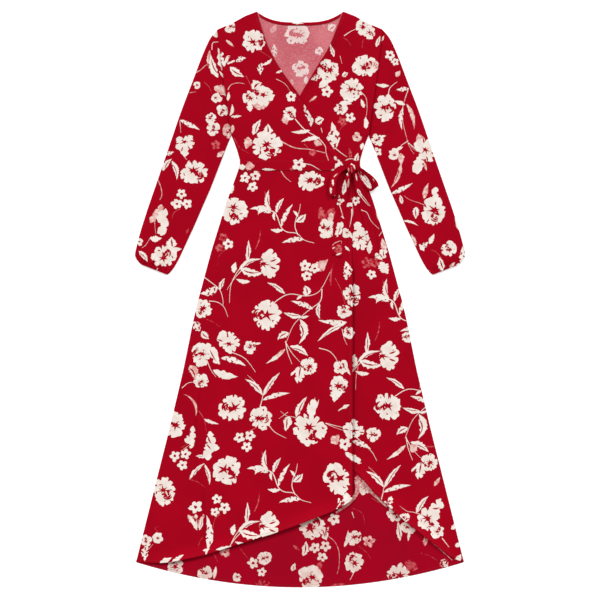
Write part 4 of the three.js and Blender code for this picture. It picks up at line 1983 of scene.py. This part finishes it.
@dataclass
class Sleeve:
    """A sleeve laid flat: a tube folded along both edges, open at armhole and wrist.

    Args:
        side: -1 for the wearer's right, 1 for the left.
        motif: its print.
        depth: its thickness between the folds.
        seam_depth: its thickness at the armhole seam.
        seam_reach: how far from the seam it reaches its full depth.
        cuff_stops: how many points of each edge belong to the cuff.
        gathers: how many gathers stand above the wrist.
        puckers: how many puckers stand below the shoulder.
        set_in: how far its upper and lower faces are set in from its full depth.
    """

    side: int
    motif: Motif
    depth: float = 5.4
    seam_depth: float = 1.9
    seam_reach: float = 20.0
    cuff_stops: int = 8
    gathers: int = 10
    puckers: int = 5
    set_in: float = 0.1

    @property
    def word(self) -> str:
        """The wearer's side in words."""
        return "right" if self.side < 0 else "left"

    def edges(self) -> tuple[Points, Points]:
        """The outer and inner folded edges from armhole to wrist."""
        flip = np.array([self.side, 1])
        return table_curve(SLEEVE_OUTER) * flip, table_curve(SLEEVE_INNER) * flip

    def creases(self) -> list[Crease]:
        """Gathers above the wrist and puckers at the cap.

        Returns:
            The creases.
        """
        made = []
        rng = np.random.default_rng(300 + self.side)
        for k in range(self.gathers):
            share = (k + 0.5) / self.gathers
            across, down = self.side * (396 - 64 * share), 617 + 28 * share
            long, lean = rng.uniform(22, 46), rng.uniform(-5, 5)
            tip = (across - self.side * (0.353 * long + lean), down - 0.935 * long)
            made.append(Crease(((across, down), tip), rng.uniform(2.4, 4.4), 3.1, 0.05, 0.8))
        for k in range(self.puckers):
            share = (k + 0.6) / self.puckers
            across, down = self.side * (203 - 34 * share), 48 + 250 * share
            tip = (across + self.side * rng.uniform(22, 40), down + rng.uniform(4, 16))
            made.append(Crease(((across, down), tip), rng.uniform(0.5, 1.1), 8, 0.1, 0.7))
        return made

    def top_height(self, points: Points) -> np.ndarray:
        """Height of the upper layer: rounded at the folds and sunk at the armhole seam.

        Args:
            points: where.

        Returns:
            The height at each point.
        """
        outer, inner = self.edges()
        fold_gap = np.minimum(distance_to(outer, points), distance_to(inner, points))
        seam_gap = distance_to(np.vstack([outer[:1], inner[:1]]), points)
        opened = smooth(seam_gap / self.seam_reach)
        depth = self.seam_depth + (self.depth - self.seam_depth) * opened
        bulge = depth / 2 * quarter_round(fold_gap / (depth / 2))
        rise = total_rise(self.creases(), points) * smooth(fold_gap / 6)
        return depth / 2 + bulge + rise - self.set_in

    def build(self) -> None:
        """Builds the sleeve and its cuff."""
        outer, inner = self.edges()
        arm, wrist = slice(None, 1 - self.cuff_stops), slice(-self.cuff_stops, None)
        self._tube(f"{self.word}_sleeve", outer[arm], inner[arm])
        self._tube(f"{self.word}_cuff", outer[wrist], inner[wrist])

    def _tube(self, node: str, outer: Points, inner: Points) -> None:
        """Makes a flattened tube between two stretches of the folded edges.

        Args:
            node: the solid it stands for.
            outer: the stretch of the outer fold.
            inner: the stretch of the inner fold.
        """
        outline = np.vstack([outer, inner[::-1]])[::self.side]
        cut = CutCloth(outline, self.motif, 8.0, (0.25, 0.8, 1.6, 2.7, 5.5),
                       creases=self.creases()).cut()
        flat, faces = cut.points, cut.faces
        folds = np.minimum(distance_to(outer, flat), distance_to(inner, flat))
        on_fold = folds < 1e-3
        top = self.top_height(flat)
        middle = np.minimum(top, self.depth) / 2
        low = self.set_in + self.depth / 2 * (1 - quarter_round(folds / (self.depth / 2)))
        top, low = np.where(on_fold, middle, (top, np.minimum(low, middle)))
        below = np.arange(len(flat)) + len(flat)
        below[on_fold] = np.flatnonzero(on_fold)
        points = np.vstack([np.column_stack([flat, top]), np.column_stack([flat, low])])
        used, corners = np.unique(np.vstack([faces, below[faces][:, ::-1]]), return_inverse=True)
        bent = Cut(points[used], corners.reshape(-1, 3), np.r_[cut.ink, cut.ink],
                   np.r_[cut.blush, cut.blush][used])
        dress(node, bent, (OUTSIDE, SHOW_THROUGH))


@dataclass
class Waistband:
    """The band that covers the waist seam, with a fine crease at both edges."""

    base: float = 0.5
    bulge: float = 0.6
    edge_reach: float = 2.0
    side_gap: float = 0.5

    def height(self, points: Points) -> np.ndarray:
        """Height of the band over both fronts.

        Args:
            points: where.

        Returns:
            The height at each point.
        """
        across, down = points[:, 0], down_of(points)
        level = UNDER_FRONT + LAYER * carried(across, UNDER_WRAP_EDGE)
        beyond = smooth((across - WRAP_EDGE - 1) / 11)
        level = level * (1 - beyond) + UNDER_FRONT * beyond + LAYER
        into = np.minimum(down - BAND_TOP, BAND_BOTTOM - down) / self.edge_reach
        return level + self.base + self.bulge * quarter_round(into)

    def build(self) -> None:
        """Builds the band."""
        downs = np.array([BAND_TOP, 370, WAIST_SEAM, 385, BAND_BOTTOM])
        right, left = (plan(side * (side_half(downs) - self.side_gap), downs) for side in (-1, 1))
        Panel("waistband", np.vstack([right, left[::-1]]), WAISTBAND_PRINT, self.height,
              (OUTSIDE, OUTSIDE), ("right_front_bodice", "right_front_skirt"), step=5.0).build()


@dataclass(frozen=True)
class Loop:
    """One loop of the bow: out from the knot low, round its tip and back high.

    Args:
        node: the solid it stands for.
        width: its full width in millimetres.
        motif: its print, in millimetres along and across the ribbon.
        rows: across, down, up, wide share, heading and tilt, one stop a row. Heading is the
            way it leaves the knot and tilt how far its face leans, both in degrees.
        gathered: how far from the knot its pleats are deep.
        pleat_depth: their depth at the tip, and how much deeper they are at the knot.
        rim_roll: how far its edges roll back.
        rim_width: width of the rolled edges as a share of its own.
    """

    node: str
    width: float
    motif: Motif
    rows: tuple[tuple[float, float, float, float, float, float], ...]
    gathered: float = 34.0
    pleats: float = 2.5
    pleat_depth: tuple[float, float] = (0.35, 1.5)
    rim_roll: float = 0.9
    rim_width: float = 0.05

    def build(self) -> None:
        """Cuts the ribbon flat and bends it along its stops."""
        across, down, up, wide, heading, tilt = through(np.array(self.rows), 8).T
        centre = np.column_stack([plan(across, down), up])
        lengths = run_of(centre)
        half, long = self.width / 2, lengths[-1]
        outline = np.array([(0, -half), (long, -half), (long, half), (0, half)])
        cut = CutCloth(outline, self.motif, 3.0, (0.8, 1.6), lambda given: given).cut()
        at, aside = cut.points.T

        def along(column: np.ndarray) -> np.ndarray:
            """One column at each point of the ribbon."""
            return np.interp(at, lengths, column)

        heading, tilt = np.radians(along(heading)), np.radians(along(tilt))
        lateral = np.column_stack([-np.sin(heading) * np.cos(tilt),
                                   np.cos(heading) * np.cos(tilt), np.sin(tilt)])
        tangent = np.column_stack([along(k) for k in np.gradient(centre, lengths, axis=0).T])
        normal = np.cross(tangent, lateral)
        normal /= np.linalg.norm(normal, axis=1)[:, None]
        share = aside / self.width
        near_knot = np.maximum(1 - at / self.gathered, 1 - (long - at) / self.gathered).clip(0, 1)
        shallow, deeper = self.pleat_depth
        wave = np.cos(2 * np.pi * self.pleats * share + 0.6)
        pleats = (shallow + deeper * near_knot) * wave
        rims = bell(share - 0.5, self.rim_width) + bell(share + 0.5, self.rim_width)
        place = np.column_stack([along(k) for k in centre.T])
        place += lateral * (aside * along(wide))[:, None]
        place += normal * (pleats - self.rim_roll * rims)[:, None]
        dress(self.node, Cut(place, cut.faces, cut.ink, cut.blush), (OUTSIDE, OUTSIDE),
              offset=0.0)


@dataclass(frozen=True)
class Tail:
    """A free end of the tie, gathered at the knot and laid over the skirt.

    Args:
        node: the solid it stands for.
        motif: its print in chart units.
        stops: across and down of its middle line.
        end: cut of its end, across shares from -1 to 1 with the distance it reaches on.
        pleats: across share, height and half width of its lengthwise folds.
        gathered: its width at the knot as a share of the full width.
        gather_share: share of its length where it is narrower.
        knot_rise: how far it rises to the knot.
        rise_share: share of its length over which it rises.
        arch: how far its middle stands above its edges.
        arch_share: share of its length over which the arch sinks.
        arch_left: share of the arch that is left at its end.
        fold_share: share of its length over which its folds flatten to half their height.
        hidden: how much longer the cut is than what is modelled; not used.
    """

    node: str
    motif: Motif
    stops: tuple[tuple[float, float], ...]
    end: tuple[tuple[float, float], ...]
    pleats: tuple[tuple[float, float, float], ...]
    gathered: float = 0.5
    gather_share: float = 0.28
    knot_rise: float = 8.0
    rise_share: float = 0.34
    arch: float = 1.6
    arch_share: float = 0.7
    arch_left: float = 0.12
    fold_share: float = 0.6
    hidden: float = 6.0

    def build(self) -> None:
        """Cuts the free end and lays it."""
        line = resample(through(plan(*np.array(self.stops).T), 8), 4.0)
        lengths = run_of(line)
        share = lengths / lengths[-1]
        tangent = np.gradient(line, axis=0)
        tangent /= np.linalg.norm(tangent, axis=1)[:, None]
        normal = left_of(line)
        full = self.gathered + (1 - self.gathered) * smooth(share / self.gather_share)
        half = RIBBON_WIDTH / 2 * full
        end = np.array([line[-1] + side * half[-1] * normal[-1] + reach * tangent[-1]
                        for side, reach in self.end])
        aside = half[:, None] * normal
        outline = np.vstack([line + aside, end, (line - aside)[::-1]])
        cut = CutCloth(outline, self.motif, 2.2, (0.8, 1.8)).cut()
        flat = cut.points
        nearest = np.argmin(((flat[:, None] - line[None]) ** 2).sum(2), axis=1)
        away = ((flat - line[nearest]) * normal[nearest]).sum(1) / np.maximum(half[nearest], 1)
        at = share[nearest]
        fold = sum(height * bell(away - place, reach) for place, height, reach in self.pleats)
        fold = fold * (0.5 + np.clip(1 - at / self.fold_share, 0, 1))
        arch = self.arch * (1 - away**2) * np.clip(1 - at / self.arch_share, self.arch_left, 1)
        rise = self.knot_rise * smooth(1 - at / self.rise_share)
        height = Skirt().top(flat) + CLOTH + SEAM_GAP + arch + rise + fold
        laid = Cut(np.column_stack([flat, height]), cut.faces, cut.ink, cut.blush)
        dress(self.node, laid, (OUTSIDE, OUTSIDE))


@dataclass
class Bow:
    """The bow at the wrap edge: a pleated knot, two loops and two free ends."""

    across: float = 127.0
    down: float = 388.0
    middle: float = 13.4
    lowest: float = 6.2
    half_across: float = 10.5
    half_down: float = 13.5
    half_depth: float = 8.0
    pleats: int = 5
    pleat_depth: float = 0.09
    turns: int = 72
    rings: int = 22
    wrapped_share: float = 0.75

    def knot(self) -> None:
        """The knot: gathered cloth wrapped round, with pleats that run over it."""
        turns, rings = self.turns, self.rings
        theta, phi = np.meshgrid(np.arange(turns) * 2 * np.pi / turns,
                                 np.linspace(0.06, np.pi - 0.06, rings))
        wave = np.cos(self.pleats * 2 * (phi + 0.12 * np.sin(theta))) + 0.4 * np.cos(13 * phi + 1.3)
        radius = 1 - self.pleat_depth * wave * np.sin(phi)
        x = self.across + self.half_across * np.cos(phi) * 1.02
        y = HALF_LENGTH - self.down + self.half_down * radius * np.sin(phi) * np.cos(theta)
        z = self.middle + self.half_depth * radius * np.sin(phi) * np.sin(theta)
        points = np.column_stack([x.ravel(), y.ravel(), np.maximum(z, self.lowest).ravel()])
        faces = np.array([
            (r * turns + c, (r + 1) * turns + c, (r + 1) * turns + (c + 1) % turns,
             r * turns + (c + 1) % turns)
            for r in range(rings - 1) for c in range(turns)
        ])
        middles = points[faces].mean(1)
        ink = np.zeros(len(faces), int)
        # The rose streak down the knot's middle is a painted highlight; the other shapes are print.
        for shape in KNOT_PRINT_AND_HIGHLIGHT:
            within = inside(from_chart(shape.outline), middles[:, :2])
            ink[within & (middles[:, 2] > self.middle)] = shape.ink.value
        dress("bow_knot", Cut(points, faces, ink, np.zeros(len(points))), (OUTSIDE, OUTSIDE))

    def build(self) -> None:
        """Builds the knot, the free ends and the loops."""
        Tail("tie_tail_right", RIGHT_TAIL_PRINT,
             ((120, 399), (111, 439), (100, 488), (93, 537), (91, 603)),
             ((1.0, 0.0), (0.6, 1.5), (0.1, 2.0), (-0.7, -6.0)),
             ((-0.55, 2.8, 0.26), (0.4, 2.6, 0.26))).build()
        Tail("tie_tail_left", LEFT_SKIRT_PRINT, ((135, 399), (151, 455), (169, 525), (184, 602)),
             ((1.0, -2.0), (0.2, 0.5), (-1.0, 1.0)),
             ((-0.7, 2.6, 0.24), (0.0, 2.8, 0.26), (0.75, 2.0, 0.24))).build()
        self.knot()
        Loop("bow_loop_right", 20.0, RIGHT_LOOP_PRINT, (
            (114, 384.4, 9.8, 0.55, -160, 0), (103, 387, 9.5, 0.8, -145, 0),
            (93, 395, 9.3, 1.0, -125, 0), (83, 412, 9.3, 1.0, -108, 0),
            (80, 434, 9.5, 0.96, -96, 0), (81.5, 450, 11.2, 0.9, -82, 0),
            (82.5, 455, 14, 0.84, -78, 8), (81.5, 450, 16.6, 0.85, -82, 14),
            (78.5, 432, 18.2, 0.85, -98, 16), (82, 413, 18.4, 0.82, -112, 14),
            (92, 397, 17.8, 0.74, -128, 10), (103, 387, 17.0, 0.6, -148, 4),
            (115, 383, 14.6, 0.45, -160, 0),
        )).build()
        Loop("bow_loop_left", 28.0, LEFT_LOOP_PRINT, (
            (139.2, 389.9, 9.8, 0.36, -42, 0), (149, 399, 9.6, 0.8, -45, 0),
            (160, 411, 9.4, 1.14, -46, 0), (171, 422, 9.6, 1.18, -48, 4),
            (178, 430, 10.2, 1.12, -50, 6), (182.8, 434.8, 12, 0.92, -50, 14),
            (184.4, 436, 14.5, 0.66, -50, 24), (182.5, 432, 17, 0.54, -48, 36),
            (176, 419, 17.8, 0.48, -44, 46), (167, 405, 18.6, 0.42, -42, 48),
            (153, 393, 17.6, 0.4, -36, 36), (139, 387, 14.6, 0.34, -32, 10),
        )).build()


class StitchTree:
    """The Geometry Nodes tree that sets short thread stitches along a line."""

    def __init__(self) -> None:
        """Builds the tree with its named inputs."""
        self.tree = bpy.data.node_groups.new("stitch_row", "GeometryNodeTree")
        face = self.tree.interface
        for name, kind in (("Geometry", "Geometry"), ("Spacing", "Float"), ("Length", "Float"),
                           ("Radius", "Float"), ("Material", "Material")):
            face.new_socket(name, in_out="INPUT", socket_type=f"NodeSocket{kind}")
        face.new_socket("Geometry", in_out="OUTPUT", socket_type="NodeSocketGeometry")
        bench = Bench(self.tree)
        given = bench.add("NodeGroupInput")
        curve = bench.add("GeometryNodeMeshToCurve", {"Mesh": given["Geometry"]})["Curve"]
        places = bench.add("GeometryNodeCurveToPoints", {
            "Curve": curve, "Length": given["Spacing"]}, mode="LENGTH")
        thread = bench.add("GeometryNodeMeshCylinder", {
            "Vertices": 6, "Radius": given["Radius"], "Depth": given["Length"]})
        row = bench.add("GeometryNodeInstanceOnPoints", {
            "Points": places["Points"], "Rotation": places["Rotation"],
            "Instance": thread["Mesh"]})
        real = bench.add("GeometryNodeRealizeInstances", {"Geometry": row["Instances"]})
        dyed = bench.add("GeometryNodeSetMaterial", {
            "Geometry": real["Geometry"], "Material": given["Material"]})
        bench.add("NodeGroupOutput", {"Geometry": dyed["Geometry"]})

    def key(self, name: str) -> str:
        """The identifier of a named input."""
        return next(item.identifier for item in self.tree.interface.items_tree
                    if item.in_out == "INPUT" and item.name == name)


@dataclass
class Stitching:
    """The rows of stitches along the hems, the neck edges, the band and the wrists."""

    spacing: float = 3.4
    length: float = 2.5
    radius: float = 0.26
    inset: float = 6.0
    band_inset: float = 2.2
    wrist_inset: float = 9.6
    proud: float = 0.12
    tree: StitchTree = field(default_factory=StitchTree)
    thread: bpy.types.Material = field(init=False)

    def __post_init__(self) -> None:
        """Makes the thread: matt, in the ground colour, a little uneven."""
        self.thread, bench, shader = shaded("sewing_thread")
        clouds = bench.noise(bench.add("ShaderNodeTexCoord")["Object"], 300.0, 2.0)
        colour = bench.mixed(clouds, srgb(140, 0, 24), srgb(172, 14, 36))
        bench.feed(shader, {"Base Color": colour, "Roughness": 0.6})

    def row(
        self, name: str, edge: Points, shift: float, height: Callable[[Points], np.ndarray],
    ) -> None:
        """Sews one row beside an edge.

        Args:
            name: the row's name, after the word stitches.
            edge: the edge in plan.
            shift: how far to its left the row runs, negative for the right.
            height: the height of the cloth there.
        """
        line = resample(edge, 3.0)
        line = (line + shift * left_of(line))[2:-2]
        points = np.column_stack([line, height(line) + self.proud])
        mesh = bpy.data.meshes.new(f"stitches_{name}")
        mesh.from_pydata((points * MM).tolist(), [(i, i + 1) for i in range(len(points) - 1)], [])
        made = linked(mesh.name, mesh)
        sewing = made.modifiers.new("sewing", "NODES")
        sewing.node_group = self.tree.tree
        for word, value in (("Spacing", self.spacing), ("Length", self.length),
                            ("Radius", self.radius)):
            sewing[self.tree.key(word)] = value * MM
        sewing[self.tree.key("Material")] = self.thread
        apply_modifiers(made)
        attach(made, "root")
        LOG.info("%s: %d faces", made.name, len(made.data.polygons))

    def build(self) -> None:
        """Sews every row."""
        bodice, skirt, band = Bodice(), Skirt(), Waistband()
        wrap_edge = plan([WRAP_EDGE, WRAP_EDGE], [1186, 402])
        left_neck = plan([106, 73, 49, 25, 2], [0, 84, 124, 164, 202])
        self.row("right_hem", table_curve(RIGHT_SKIRT_HEM), self.inset, skirt.right_height)
        self.row("wrap_edge", wrap_edge, self.inset, skirt.right_height)
        self.row("left_hem", table_curve(LEFT_SKIRT_HEM), self.inset, skirt.left_height)
        self.row("back_hem", back_hem(60), self.inset, back_height)
        self.row("right_neck", bodice.neck_edge(-1)[:-3], -self.inset, bodice.right_height)
        self.row("left_neck", left_neck, self.inset, bodice.left_height)
        self.row("band_top", plan([-143, 114], [BAND_TOP] * 2), -self.band_inset, band.height)
        self.row("band_bottom", plan([-145, 112], [BAND_BOTTOM] * 2), self.band_inset, band.height)
        for sleeve in (Sleeve(-1, []), Sleeve(1, [])):
            outer, inner = (edge[-1] for edge in sleeve.edges())
            wrist = np.array([outer, inner]) + (inner - outer) * np.array([[0.1], [-0.1]])
            self.row(f"{sleeve.word}_wrist", wrist, sleeve.side * self.wrist_inset,
                     sleeve.top_height)


@dataclass
class Studio:
    """The floor, the soft lights and the camera straight above.

    Args:
        lights: name, place across and energy of each light.
        light_height: how far up the lights stand, and how far toward the neck.
    """

    frame_width: float = CHART_SIDE * CHART_UNIT * MM
    lens_length: float = 100.0
    sensor: float = 36.0
    far_clip: float = 50.0
    floor_size: float = 30.0
    lights: tuple[tuple[str, float, float], ...] = (
        ("left_key", -1.5, 1.5), ("right_key", 1.5, 1.0))
    light_height: tuple[float, float] = (2.6, 2.1)
    light_angle: float = 15.0
    room: float = 0.47
    glow: float = 0.4

    def floor(self) -> None:
        """A plain pale floor at the height where the dress rests."""
        half = self.floor_size / 2
        mesh = bpy.data.meshes.new("floor")
        corners = [(-half, -half, 0), (half, -half, 0), (half, half, 0), (-half, half, 0)]
        mesh.from_pydata(corners, [], [(0, 1, 2, 3)])
        material, bench, shader = shaded("pale_floor")
        bench.feed(shader, {
            "Base Color": srgb(250, 250, 250), "Roughness": 0.9, "Specular IOR Level": 0.1,
            "Emission Color": srgb(255, 255, 255), "Emission Strength": self.glow,
        })
        mesh.materials.append(material)
        linked("floor", mesh)

    def light(self) -> None:
        """A pale room and two broad soft lights from the upper left and right."""
        world = bpy.data.worlds.new("room")
        world.use_nodes = True
        Bench(world.node_tree).feed(world.node_tree.nodes["Background"], {
            "Color": (1.0, 1.0, 1.0, 1.0), "Strength": self.room})
        bpy.context.scene.world = world
        up, toward_neck = self.light_height
        for name, across, energy in self.lights:
            lamp = bpy.data.lights.new(name, "SUN")
            lamp.angle = math.radians(self.light_angle)
            lamp.energy = energy
            key = linked(name, lamp)
            key.location = (across, toward_neck, up)
            key.rotation_euler = (-Vector(key.location)).to_track_quat("-Z", "Y").to_euler()

    def camera(self) -> None:
        """Sets the camera over the middle of the dress, looking straight down."""
        data = bpy.data.cameras.new("camera")
        data.lens = self.lens_length
        data.sensor_width = self.sensor
        data.clip_end = self.far_clip
        away = self.frame_width / 2 / (self.sensor / 2 / self.lens_length)
        shift = (CHART_MIDDLE - CHART_SIDE / 2) * CHART_UNIT * MM
        made = linked("camera", data)
        made.location = (0.0, shift, away)
        bpy.context.scene.camera = made
        bpy.context.scene.view_settings.view_transform = "Standard"

    def build(self) -> None:
        """Builds the whole setting."""
        self.camera()
        self.floor()
        self.light()


def main() -> None:
    """Builds the setting and the dress in order."""
    logging.basicConfig(level=logging.INFO, format="%(message)s")
    Studio().build()
    Bodice().build()
    Skirt().build()
    Sleeve(-1, RIGHT_SLEEVE_PRINT).build()
    Sleeve(1, LEFT_SLEEVE_PRINT).build()
    Waistband().build()
    Bow().build()
    Stitching().build()
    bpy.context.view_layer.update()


if __name__ == "__main__":
    main()
